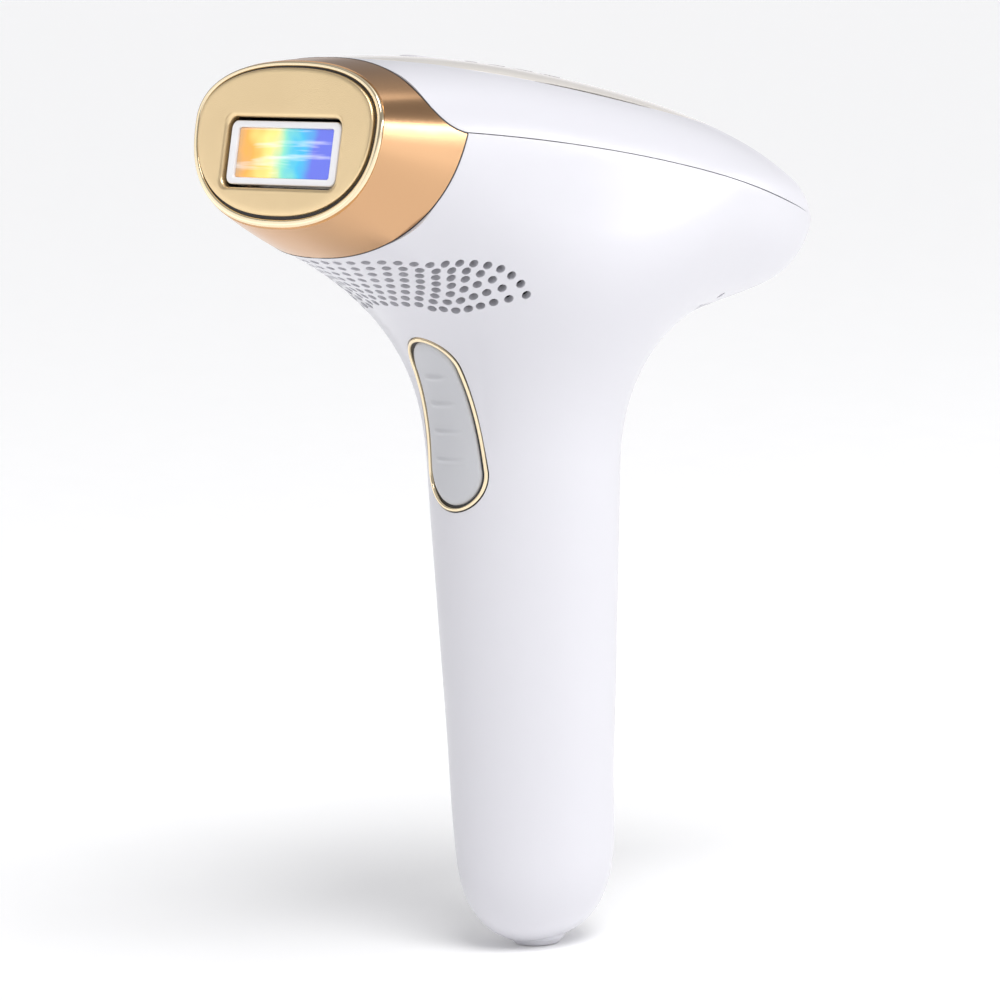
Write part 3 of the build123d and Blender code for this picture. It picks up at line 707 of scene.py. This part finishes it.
KEY_GREY = Finish("key_grey", (0.66, 0.65, 0.68), low_rough=0.29, high_rough=0.36, grain_depth=0.04)
LIGHT_PIPE = Finish("light_pipe", (0.92, 0.96, 1.0), transmission=0.5, low_rough=0.3, high_rough=0.4)
TRIGGER_GREY = Finish("trigger_grey", (0.56, 0.565, 0.59), low_rough=0.29, high_rough=0.38,
                      grain_depth=0.05, grain_scale=2400)
WIRE_RED = Finish("wire_sleeve", (0.42, 0.03, 0.02), low_rough=0.35, high_rough=0.5)
PRINT_INK = Finish("print_ink", (0.20, 0.18, 0.19), low_rough=0.4, high_rough=0.55,
                   slot="dark_plastic")

NODE_FINISHES: dict[str, Finish] = {
    "reflector": MIRROR, "flash_lamp": LAMP_GLASS, "lamp_electrodes": STEEL,
    "lamp_frame": DARK_PLASTIC, "frame_screws": STEEL, "contact_blades": BRASS,
    "contact_socket": DARK_PLASTIC, "front_bulkhead": DARK_PLASTIC, "heat_sink": ALUMINIUM,
    "fan_frame": DARK_PLASTIC, "fan_rotor": DARK_PLASTIC, "fan_screws": STEEL,
    "air_baffle": DARK_PLASTIC, "chassis": DARK_PLASTIC, "power_board": CIRCUIT_BOARD,
    "board_screws": STEEL, "trigger_transformer": DARK_PLASTIC, "charge_choke": FERRITE,
    "power_switches": DARK_PLASTIC, "filter_capacitors": SLEEVE, "belly_capacitor": SLEEVE,
    "control_board": CIRCUIT_BOARD, "key_switches": DARK_PLASTIC, "power_key": KEY_GREY,
    "level_key": KEY_GREY, "level_lights": LIGHT_PIPE, "trigger_board": CIRCUIT_BOARD,
    "trigger_switch": DARK_PLASTIC, "trigger_spring": STEEL, "main_capacitor": SLEEVE,
    "capacitor_clamp": DARK_PLASTIC, "inlet_collar": WHITE_SHELL, "inlet_jack": DARK_PLASTIC,
    "inlet_leads": WIRE_RED,
}


def dress(obj: bpy.types.Object, finish: Finish, body: str) -> bpy.types.Object:
    """Gives a new piece its finish and its body.

    Args:
        obj: the piece.
        finish: what it is made of.
        body: the body it rides on.

    Returns:
        The same piece.
    """
    obj.data.materials.clear()
    obj.data.materials.append(finish.material())
    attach(obj, body)
    LOG.info("%s: %d faces, rides on %s", obj.name, len(obj.data.polygons), body)
    return obj


# ---- shells --------------------------------------------------------------------------------
@dataclass
class Shells:
    """The white body, its top cover, the strip on the crest and the lamp head's shroud."""

    nodes: Nodes
    skin_reach: float = 0.9  # a vertex nearer to the formula than this is on the outer skin
    facing: float = 0.9  # cosine between a face and the form's normal, above which it is skin
    least_slope: float = 0.3
    covers: dict[str, tuple[Finish, str]] = field(default_factory=lambda: {
        "body_shell": (WHITE_SHELL, "main_body"), "top_cover": (WHITE_SHELL, "main_body"),
        "control_strip": (PEARL_STRIP, "main_body"), "nose_shroud": (ROSE_GOLD, "lamp_head"),
    })

    def build(self) -> None:
        """Makes each shell from its node's shape and shades it by the exact form."""
        for node, (finish, body) in self.covers.items():
            shell = bpy.data.objects.new(f"{node}_skin", self.nodes[node].data.copy())
            bpy.context.scene.collection.objects.link(shell)
            self.polish(shell.data)
            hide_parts(node)
            dress(shell, finish, body)

    def polish(self, mesh: bpy.types.Mesh) -> None:
        """Gives corners on the outer skin the exact normal of the form.

        Args:
            mesh: the shell's mesh.
        """
        count, corners = len(mesh.vertices), len(mesh.loops)
        places = np.empty(count * 3, np.float32)
        mesh.vertices.foreach_get("co", places)
        places = places.reshape(-1, 3).astype(float) / MM
        slope = FORM.slope(places)
        steep = np.linalg.norm(slope, axis=1)
        outward = slope / steep[:, None]
        off_skin = np.abs(FORM.level(places)) / np.maximum(steep, self.least_slope)
        on_skin = off_skin < self.skin_reach
        normals = np.empty(corners * 3, np.float32)
        mesh.corner_normals.foreach_get("vector", normals)
        normals = normals.reshape(-1, 3)
        vertex, face_sizes = np.empty(corners, np.int32), np.empty(len(mesh.polygons), np.int32)
        mesh.loops.foreach_get("vertex_index", vertex)
        mesh.polygons.foreach_get("loop_total", face_sizes)
        flat = np.empty(len(mesh.polygons) * 3, np.float32)
        mesh.polygons.foreach_get("normal", flat)
        facing = np.repeat(flat.reshape(-1, 3), face_sizes, axis=0)
        exact = outward[vertex]
        swap = on_skin[vertex] & ((exact * facing).sum(1) > self.facing)
        normals[swap] = exact[swap]
        mesh.normals_split_custom_set([tuple(n) for n in normals])


@dataclass
class SeamShadeStrip:
    """Dark strip over the joint between the lamp head and the body, as painted shade of the seam."""

    v_point: tuple[float, float] = (-49.825, -1.5)
    half_gap: float = 0.17
    depths: tuple[float, float] = (-0.04, 1.8)
    count: int = 420
    upper_sweep: tuple[float, float] = (15.3, 13.5)  # half-axes of the arc above the V point
    lower_middle: tuple[float, float] = (-3.8, -15.4)  # from the V point
    lower_foot: tuple[float, float] = (-10.7, -30.7)
    crest_run: float = 12.0
    belly_run: tuple[float, float] = (-4.8, -15.8)
    inside: float = 0.02
    curve_steps: int = 200
    straight_steps: int = 400
    fine_steps: int = 12000

    def side_path(self) -> np.ndarray:
        """The seal's line down the side of the head, from over the crest to under the belly.

        Returns:
            (p, q) pairs along the line.
        """
        v = np.array(self.v_point)
        reach, rise = self.upper_sweep
        turn = np.linspace(np.pi, 1.5 * np.pi, self.curve_steps)
        upper = v + np.stack([reach * np.cos(turn), rise + rise * np.sin(turn)], axis=1)
        middle, foot = v + self.lower_middle, v + self.lower_foot
        t = np.linspace(0, 1, self.curve_steps)[:, None]
        pull = 2 * middle - (v + foot) / 2
        lower = v * (1 - t) ** 2 + 2 * pull * t * (1 - t) + foot * t**2
        start = upper[0] + np.linspace(self.crest_run, 0, self.straight_steps)[:, None] * (0.0, 1.0)
        end = foot + np.linspace(0, 1, self.straight_steps)[:, None] * self.belly_run
        path = np.vstack([start, upper[1:], lower[1:], end[1:]])
        fine = np.linspace(0, len(path) - 1, self.fine_steps)
        return np.stack([np.interp(fine, np.arange(len(path)), path[:, k]) for k in (0, 1)], axis=1)

    def build(self) -> None:
        """Lays the dark strip of painted seam shade a hair above the skin, round both sides."""
        path = self.side_path()
        middle = FORM.head_point(path[:, 0], path[:, 1], 0.0)
        middle = middle[FORM.level(middle) < -self.inside]
        sideways = np.broadcast_to([1.0, 0.0, 0.0], middle.shape)
        right = FORM.hit(middle, sideways, FORM.head_reach)
        around = np.vstack([right, right[::-1] * (-1, 1, 1), right[:1]])
        run = np.append(0, np.cumsum(np.linalg.norm(np.diff(around, axis=0), axis=1)))
        spots = np.linspace(0, run[-1], self.count, endpoint=False)
        skin = np.stack([np.interp(spots, run, around[:, k]) for k in range(3)], axis=1)
        normal = FORM.normal(skin)
        along = np.roll(skin, -1, axis=0) - np.roll(skin, 1, axis=0)
        across = np.cross(along, normal)
        across /= np.linalg.norm(across, axis=1, keepdims=True)
        rails = [skin - normal * depth + across * side * self.half_gap
                 for side, depth in ((-1, self.depths[0]), (1, self.depths[0]),
                                     (1, self.depths[1]), (-1, self.depths[1]))]
        # dark strip along the joint: painted shade of the seam
        shade_strip = loop_solid("lamp_head_seam_shade", closed_ring(rails))
        with_creases(shade_strip)
        dress(shade_strip, DARK_PLASTIC, "main_body")


# ---- lamp face -----------------------------------------------------------------------------
@dataclass
class LampFace:
    """Rim, a dark ring of painted groove shade, plate, bezel and filter glass at the lamp end."""

    face_p: float = -75.2
    plate_proud: float = 0.8
    seat_p: float = -74.2
    window_q: float = -10.6
    window: tuple[float, float] = (30.0, 11.2)
    bezel: tuple[float, float] = (34.5, 14.4)
    face_half: tuple[float, float] = (29.4, 18.8)
    rim_roll: tuple[float, float] = (0.55, 0.45)
    rim_flat: float = 1.0
    rim_width: float = 1.4
    rim_inner_roll: float = 0.4
    groove_shade_drop: float = 0.5
    plate_inset: float = 2.0
    plate_roll: tuple[float, float] = (2.6, 0.55)
    plate_edge_drop: float = 0.05
    plate_flat: tuple[float, float] = (3.0, 3.4)
    plate_rings: int = 8
    lip_corner: float = 3.4
    lip_start: float = 1.7
    lip_roll: tuple[float, float] = (1.6, 0.8)
    lip_roll_drop: float = 0.7
    lip_inner_corner: float = 2.6
    bezel_corner: float = 1.8
    bezel_drop: float = 0.1  # from the face's station back to the frame's crown
    bezel_roll: tuple[float, float] = (0.3, 0.4)
    bezel_depth: float = 3.4
    bezel_opening: tuple[float, float] = (0.35, 0.05)
    bezel_opening_corner: float = 0.6
    glass_depths: tuple[float, float] = (0.6, 2.6)
    glass_corner: float = 0.5
    glass_chamfer: float = 0.15
    glass_rings: tuple[float, ...] = (-0.6, -2.5)
    glass_crease: float = 30.0
    search_reach: float = 40.0
    around: int = 320

    def oval(self, inset: float) -> np.ndarray:
        """The lamp face's outline.

        Args:
            inset: how far inside the face's own edge it lies.

        Returns:
            (x, q) pairs round it.
        """
        turn = np.linspace(0, 2 * np.pi, self.around, endpoint=False)
        power = 2 / FORM.rounding
        c, s = np.cos(turn), np.sin(turn)
        p = np.array(self.face_p)
        middle = float(FORM.widest_q(p))
        width = float(FORM.half_width(p))
        up, down = float(FORM.top_height(p)) - middle, float(FORM.belly_depth(p)) + middle
        rise = np.where(s > 0, up, down)
        x = width * np.sign(c) * np.abs(c) ** power
        q = rise * np.sign(s) * np.abs(s) ** power
        across, upright = (1 - inset / half for half in self.face_half)
        return np.stack([x * across, middle + q * upright], axis=1)

    def rounded_box(self, size: tuple[float, float], corner: float, grow: float = 0.0) -> np.ndarray:
        """A rounded box on the window's axis, matched to the oval's points.

        Args:
            size: its length and height.
            corner: its corner radius.
            grow: how much further out each side lies.

        Returns:
            (x, q) pairs round it.
        """
        centre = np.array([0.0, self.window_q])
        ray = self.oval(self.plate_inset) - centre
        ray /= np.linalg.norm(ray, axis=1, keepdims=True)
        half = np.array(size) / 2 + grow
        near, far = np.zeros(self.around), np.full(self.around, self.search_reach)
        for _ in range(HALVINGS):
            mid = (near + far) / 2
            over = np.maximum(np.abs(ray * mid[:, None]) - (half - corner), 0)
            outside = np.linalg.norm(over, axis=1) > corner
            near, far = np.where(outside, near, mid), np.where(outside, mid, far)
        return centre + ray * near[:, None]

    def ring_at(self, outline: np.ndarray, p: float) -> np.ndarray:
        """An outline placed at station p."""
        return FORM.head_point(p, outline[:, 1], outline[:, 0])

    def build(self) -> None:
        """Builds all five pieces."""
        self.build_rim()
        self.build_groove_shade()
        self.build_plate()
        self.build_bezel()
        self.build_glass()

    def build_rim(self) -> None:
        """Polished bead round the plate, with a rolled crown and a small inner step."""
        f, s, w = self.face_p, self.seat_p, self.rim_width
        (inward, drop), flat = self.rim_roll, self.rim_flat
        profile = [(0.0, s), (0.0, f + drop)]
        profile += round_over((0.0, f + drop), (inward, f), (0.0, f))
        profile += [(flat, f)]
        profile += round_over((flat, f), (w, f + self.rim_inner_roll), (w, f))
        profile += [(w, s)]
        loops = [self.ring_at(self.oval(inset), p) for inset, p in profile]
        rim = loop_solid("face_rim_bead", closed_ring(loops))
        with_creases(rim)
        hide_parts("face_rim")
        dress(rim, POLISHED_GOLD, "lamp_head")

    def build_groove_shade(self) -> None:
        """Dark ring at the bottom of the groove between rim and plate, as painted shade of the groove.
        """
        top, s = self.face_p + self.groove_shade_drop, self.seat_p
        outer, inner = self.rim_width, self.plate_inset
        corners = ((outer, s), (outer, top), (inner, top), (inner, s))
        loops = [self.ring_at(self.oval(inset), p) for inset, p in corners]
        # dark ring standing in for the groove's shade: painted shade
        groove_shade = loop_solid("face_groove_shade", closed_ring(loops))
        with_creases(groove_shade)
        dress(groove_shade, DARK_PLASTIC, "lamp_head")

    def build_plate(self) -> None:
        """Satin plate with a rolled outer edge and a lip that turns into the window opening."""
        front, s = self.face_p - self.plate_proud, self.seat_p
        edge, (inward, drop) = self.plate_inset, self.plate_roll
        crown = front + self.plate_edge_drop
        outer = [(edge, s), (edge, front + drop)]
        outer += round_over((edge, front + drop), (inward, crown), (edge, crown))
        outer += [(inset, front) for inset in self.plate_flat]
        loops = [self.ring_at(self.oval(inset), p) for inset, p in outer]
        oval = self.oval(self.plate_flat[-1])
        lip = self.rounded_box(self.bezel, self.lip_corner, self.lip_start)
        for share in np.linspace(0, 1, self.plate_rings)[1:]:
            loops.append(self.ring_at(oval * (1 - share) + lip * share, front))
        wide, narrow = self.lip_roll
        turned = round_over((wide, front), (narrow, front + self.lip_roll_drop), (narrow, front))
        for grow, p in turned + [(narrow, s)]:
            loops.append(self.ring_at(self.rounded_box(self.bezel, self.lip_inner_corner, grow), p))
        plate = loop_solid("face_plate_pressing", closed_ring(loops))
        with_creases(plate)
        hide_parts("face_plate")
        dress(plate, SATIN_GOLD, "lamp_head")

    def build_bezel(self) -> None:
        """White frame round the glass, soft at both of its edges."""
        crown, back = self.face_p + self.bezel_drop, self.seat_p + self.bezel_depth
        inward, drop = self.bezel_roll
        low, (wide, narrow) = self.face_p + drop, self.bezel_opening
        outer = [(0.0, back), (0.0, low)] + round_over((0.0, low), (-inward, crown), (0.0, crown))
        inner = round_over((wide, crown), (narrow, low), (narrow, crown)) + [(narrow, back)]
        loops = []
        for size, corner, steps in (
            (self.bezel, self.bezel_corner, outer), (self.window, self.bezel_opening_corner, inner)
        ):
            loops += [self.ring_at(self.rounded_box(size, corner, grow), p) for grow, p in steps]
        bezel = loop_solid("window_bezel_frame", closed_ring(loops))
        with_creases(bezel)
        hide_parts("window_bezel")
        dress(bezel, WHITE_BEZEL, "lamp_head")

    def build_glass(self) -> None:
        """Coated filter, a block with a fine chamfer."""
        front, back = (self.face_p + depth for depth in self.glass_depths)
        steps = [(0.0, back), (0.0, front + self.glass_chamfer), (-self.glass_chamfer, front)]
        steps += [(grow, front) for grow in self.glass_rings]
        loops = [self.ring_at(self.rounded_box(self.window, self.glass_corner, grow), p)
                 for grow, p in steps]
        glass = loop_solid("window_filter", loops, cap_first=True, cap_last=True)
        with_creases(glass, self.glass_crease)
        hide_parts("window_glass")
        dress(glass, FILTER_GLASS, "lamp_head")


# ---- trigger -------------------------------------------------------------------------------
@dataclass
class Trigger:
    """Gold ring and ridged grey button on the front of the neck."""

    low: tuple[float, float] = (114.3, 9.5)
    high: tuple[float, float] = (138.4, 7.8)
    ring_width: float = 1.2
    gap: float = 0.35
    bead_margin: float = 0.2
    bead_rise: float = 0.38
    bead_steps: int = 13
    seat: float = -0.45
    shade_margins: tuple[float, float] = (0.08, 0.28)
    wall_foot: float = -2.0
    pad_edge: float = -0.6
    pad_edge_rise: float = 0.75
    pad_run: float = 9.0  # nominal way from its edge to its middle
    pad_roll: float = 0.9
    pad_dome: float = 0.35
    pad_rings: int = 110
    pad_crease: float = 40.0
    ridges: tuple[float, ...] = (136.6, 130.2, 123.6, 116.9)
    ridge_height: float = 0.5
    ridge_half_depth: float = 0.6
    ridge_half_width: float = 3.7
    ridge_widening: float = 0.45
    arc_steps: int = 120
    around: int = 300

    def outline(self, inset: float) -> np.ndarray:
        """The trigger's outline: two arcs joined by two straights.

        Args:
            inset: how far inside the ring's outer edge it lies.

        Returns:
            (x, z) pairs round it, evenly spaced.
        """
        (z0, r0), (z1, r1) = self.low, self.high
        lean = np.arcsin((r0 - r1) / (z1 - z0))
        top_half, low_half = np.pi / 2 - lean, np.pi / 2 + lean
        arcs = []
        for z, r, middle, half in (
            (z1, r1, np.pi / 2, top_half), (z0, r0, 3 * np.pi / 2, low_half)
        ):
            turn = np.linspace(middle - half, middle + half, self.arc_steps)
            reach = r - inset
            arcs.append(np.stack([reach * np.cos(turn), z + reach * np.sin(turn)], axis=1))
        path = np.vstack([arcs[0], arcs[1], arcs[0][:1]])
        run = np.append(0, np.cumsum(np.linalg.norm(np.diff(path, axis=0), axis=1)))
        spots = np.linspace(0, run[-1], self.around, endpoint=False)
        return np.stack([np.interp(spots, run, path[:, k]) for k in (0, 1)], axis=1)

    def lift(self, outline: np.ndarray, height: np.ndarray | float) -> np.ndarray:
        """An outline laid on the front skin and raised above it.

        Args:
            outline: (x, z) pairs.
            height: how far above the skin, for all of them or for each.

        Returns:
            The points.
        """
        on_skin = FORM.front(outline[:, 0], outline[:, 1])
        return on_skin + FORM.normal(on_skin) * np.reshape(height, (-1, 1))

    def build(self) -> None:
        """Builds the ring and the button."""
        self.build_ring()
        self.build_button()

    def build_ring(self) -> None:
        """Polished bead with a rolled crown, on a dark strip that shows on both sides of it as painted
        shade of the gaps.
        """
        w, margin, seat = self.ring_width, self.bead_margin, self.seat
        half = w / 2 - margin
        profile = [(margin, seat)]
        profile += [(w / 2 - half * np.cos(t), self.bead_rise * np.sin(t))
                    for t in np.linspace(0, np.pi, self.bead_steps)]
        profile += [(w - margin, seat)]
        loops = [self.lift(self.outline(inset), rise) for inset, rise in profile]
        ring = loop_solid("trigger_ring_bead", closed_ring(loops))
        with_creases(ring)
        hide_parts("trigger_ring")
        dress(ring, POLISHED_GOLD, "main_body")
        # dark strip in the gaps beside the ring: painted shade
        outside, inside, foot = -self.shade_margins[0], w + self.shade_margins[1], self.wall_foot
        corners = ((outside, seat), (inside, seat), (inside, foot), (outside, foot))
        shade_loops = [self.lift(self.outline(inset), rise) for inset, rise in corners]
        shade_strip = loop_solid("trigger_gap_shade", closed_ring(shade_loops))
        with_creases(shade_strip)
        dress(shade_strip, DARK_PLASTIC, "main_body")

    def ridge_rise(self, x: np.ndarray, z: np.ndarray) -> np.ndarray:
        """Height of the lens-shaped ridges.

        Args:
            x: places across the button.
            z: heights.

        Returns:
            How far the ridges rise at each place.
        """
        rise = np.zeros_like(x)
        for k, middle in enumerate(self.ridges):
            half_width = self.ridge_half_width + self.ridge_widening * k
            taper = np.maximum(1 - (x / half_width) ** 2, 0)
            crown = np.exp(-(((z - middle) / self.ridge_half_depth) ** 2))
            rise += self.ridge_height * taper * crown
        return rise

    def build_button(self) -> None:
        """Domed button whose edge rolls down into the ring's gap."""
        edge = self.outline(self.ring_width + self.gap)
        centre = np.array([0.0, (self.low[0] + self.high[0]) / 2])
        loops = [self.lift(edge, height) for height in (self.wall_foot, self.pad_edge)]
        for share in 1 - np.linspace(0, 1, self.pad_rings)[:-1]:
            spot = centre + (edge - centre) * share
            inward = np.clip((1 - share) * self.pad_run / self.pad_roll, 0, 1)
            roll = self.pad_edge + self.pad_edge_rise * np.sqrt(1 - (1 - inward) ** 2)
            dome = self.pad_dome * (1 - share**2)
            loops.append(self.lift(spot, roll + dome + self.ridge_rise(spot[:, 0], spot[:, 1])))
        button = loop_solid("trigger_pad", loops, cap_first=True, cap_last=True)
        with_creases(button, self.pad_crease)
        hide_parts("trigger_button")
        dress(button, TRIGGER_GREY, "trigger")


# ---- strip ---------------------------------------------------------------------------------
@dataclass
class StripLegends:
    """Printed bars on the control strip, beside its lights."""

    mark_stations: tuple[float, ...] = (-27.1, -19.3, -11.5, -3.7)
    mark_x: float = 8.0
    bar_pitch: float = 1.5
    bar_size: tuple[float, float] = (3.4, 0.8)
    corner_share: float = 0.3
    corner_steps: int = 32
    ink: float = 0.05

    def bar(self, name: str, p: float, x: float) -> bpy.types.Object:
        """A printed bar on the crest's skin.

        Args:
            name: name of the new piece.
            p: place of its middle along the head.
            x: place of its middle across the head.

        Returns:
            The new piece.
        """
        size = self.bar_size
        turn = np.linspace(0, 2 * np.pi, self.corner_steps, endpoint=False)
        corner = min(size) * self.corner_share
        c, s = np.cos(turn), np.sin(turn)
        px = p + np.sign(c) * (size[0] / 2 - corner) + corner * c
        xx = x + np.sign(s) * (size[1] / 2 - corner) + corner * s
        skin = FORM.crest(px, xx)
        up = FORM.normal(skin)
        return loop_solid(name, [skin - up * self.ink, skin + up * self.ink], True, True)

    def build(self) -> None:
        """Prints a group of bars by each light, one more at each level."""
        for level, station in enumerate(self.mark_stations, start=1):
            for k in range(level):
                bar = self.bar(f"level_{level}_bar_{k}", station, self.mark_x + k * self.bar_pitch)
                dress(bar, PRINT_INK, "main_body")


# ---- what stays as it was packed ---------------------------------------------------------------
@dataclass
class Inside:
    """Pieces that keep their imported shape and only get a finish."""

    nodes: Nodes

    def dress(self) -> None:
        """Puts each node's finish in its material slots."""
        for node, finish in NODE_FINISHES.items():
            obj = self.nodes[node]
            material = finish.material()
            if not obj.material_slots:
                obj.data.materials.append(material)
            for place in obj.material_slots:
                place.material = material
            LOG.info("%s: %s", node, finish.name)


# ---- studio --------------------------------------------------------------------------------
@dataclass(frozen=True)
class SoftBox:
    """A rectangular light that looks at the middle of the object, in metres."""

    name: str
    place: tuple[float, float, float]
    size: tuple[float, float]
    power: float
    target: tuple[float, float, float] = (0.0, 0.0, 0.13)

    def build(self) -> None:
        """Places the light."""
        light = bpy.data.lights.new(self.name, "AREA")
        light.shape, light.energy = "RECTANGLE", self.power
        light.size, light.size_y = self.size
        obj = bpy.data.objects.new(self.name, light)
        obj.location = self.place
        aim = Vector(self.target) - Vector(self.place)
        obj.rotation_euler = aim.to_track_quat("-Z", "Y").to_euler()
        bpy.context.scene.collection.objects.link(obj)


@dataclass
class Studio:
    """Pale floor, soft lights and the camera, in metres and degrees."""

    place: tuple[float, float, float] = (0.8744, -0.9328, 0.2591)
    azimuth: float = 43.41
    elevation: float = 6.86
    roll: float = -1.59
    lens: float = 198.0
    sun_power: float = 1.9
    sun_width: float = 35.0
    sun_from: tuple[float, float, float] = (0.5, -0.25, 0.85)
    surround: tuple[tuple[float, float], ...] = (
        (0.00, 1.00), (0.09, 0.85), (0.20, 0.34), (0.55, 0.30), (0.75, 0.45), (1.00, 0.50),
    )
    surround_blue: float = 1.03
    floor_size: float = 60.0
    floor_gap: float = 0.0002
    sensor: float = 36.0
    view_range: tuple[float, float] = (0.05, 30.0)
    soft_boxes: tuple[SoftBox, ...] = (
        SoftBox("streak_light", (0.92, 0.98, 0.25), (1.5, 0.13), 5.0),
        SoftBox("plate_light", (-0.95, -0.98, 0.44), (0.9, 0.7), 1.35),
        SoftBox("top_light", (0.35, 0.25, 1.2), (1.0, 0.8), 2.2),
    )

    def build(self) -> None:
        """Builds the floor, the lights and the camera."""
        bpy.context.scene.view_settings.view_transform = "Standard"
        self.build_floor()
        self.build_world()
        self.build_sun()
        for box in self.soft_boxes:
            box.build()
        self.build_camera()

    def build_floor(self) -> None:
        """A pale floor just under the foot."""
        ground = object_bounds()[0][2] - self.floor_gap
        bpy.ops.mesh.primitive_plane_add(size=self.floor_size, location=(0, 0, ground))
        floor = bpy.context.object
        floor.name = "floor"
        paint = Finish("floor_paint", (0.95, 0.95, 0.95), low_rough=0.6, high_rough=0.7, emission=0.1)
        floor.data.materials.append(paint.material())
        floor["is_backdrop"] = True

    def build_world(self) -> None:
        """A surround that is white at the horizon, dark above it and a little paler overhead."""
        world = bpy.data.worlds.new("surround")
        world.use_nodes = True
        tree = world.node_tree
        place, split = tree.nodes.new("ShaderNodeTexCoord"), tree.nodes.new("ShaderNodeSeparateXYZ")
        ramp = tree.nodes.new("ShaderNodeValToRGB")
        for k, (height, value) in enumerate(self.surround):
            stop = ramp.color_ramp.elements[k] if k < 2 else ramp.color_ramp.elements.new(height)
            stop.position, stop.color = height, (value, value, value * self.surround_blue, 1)
        tree.links.new(place.outputs["Generated"], split.inputs["Vector"])
        tree.links.new(split.outputs["Z"], ramp.inputs["Fac"])
        tree.links.new(ramp.outputs["Color"], tree.nodes["Background"].inputs["Color"])
        bpy.context.scene.world = world

    def build_sun(self) -> None:
        """A wide, soft sun that lights the floor evenly."""
        light = bpy.data.lights.new("sun_light", "SUN")
        light.energy, light.angle = self.sun_power, float(np.radians(self.sun_width))
        obj = bpy.data.objects.new("sun_light", light)
        obj.rotation_euler = Vector(self.sun_from).to_track_quat("Z", "Y").to_euler()
        bpy.context.scene.collection.objects.link(obj)

    def build_camera(self) -> None:
        """The camera, a little rolled."""
        az, el, roll = (float(np.radians(v)) for v in (self.azimuth, self.elevation, self.roll))
        back = Vector((np.sin(az) * np.cos(el), -np.cos(az) * np.cos(el), np.sin(el)))
        right = Vector((np.cos(az), np.sin(az), 0))
        up = back.cross(right)
        side = right * np.cos(roll) + up * np.sin(roll)
        tall = up * np.cos(roll) - right * np.sin(roll)
        data = bpy.data.cameras.new("camera")
        data.lens, data.sensor_width = self.lens, self.sensor
        data.clip_start, data.clip_end = self.view_range
        camera = bpy.data.objects.new("camera", data)
        turn = Matrix((side, tall, back)).transposed().to_4x4()
        camera.matrix_world = Matrix.Translation(Vector(self.place)) @ turn
        bpy.context.scene.collection.objects.link(camera)
        bpy.context.scene.camera = camera


def main() -> None:
    """Builds every sub-assembly in order."""
    logging.basicConfig(level=logging.INFO, format="%(name)s: %(message)s")
    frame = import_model()
    nodes = frame["nodes"]
    Shells(nodes).build()
    SeamShadeStrip().build()
    LampFace().build()
    Trigger().build()
    StripLegends().build()
    Inside(nodes).dress()
    Studio().build()


if __name__ == "__main__":
    main()
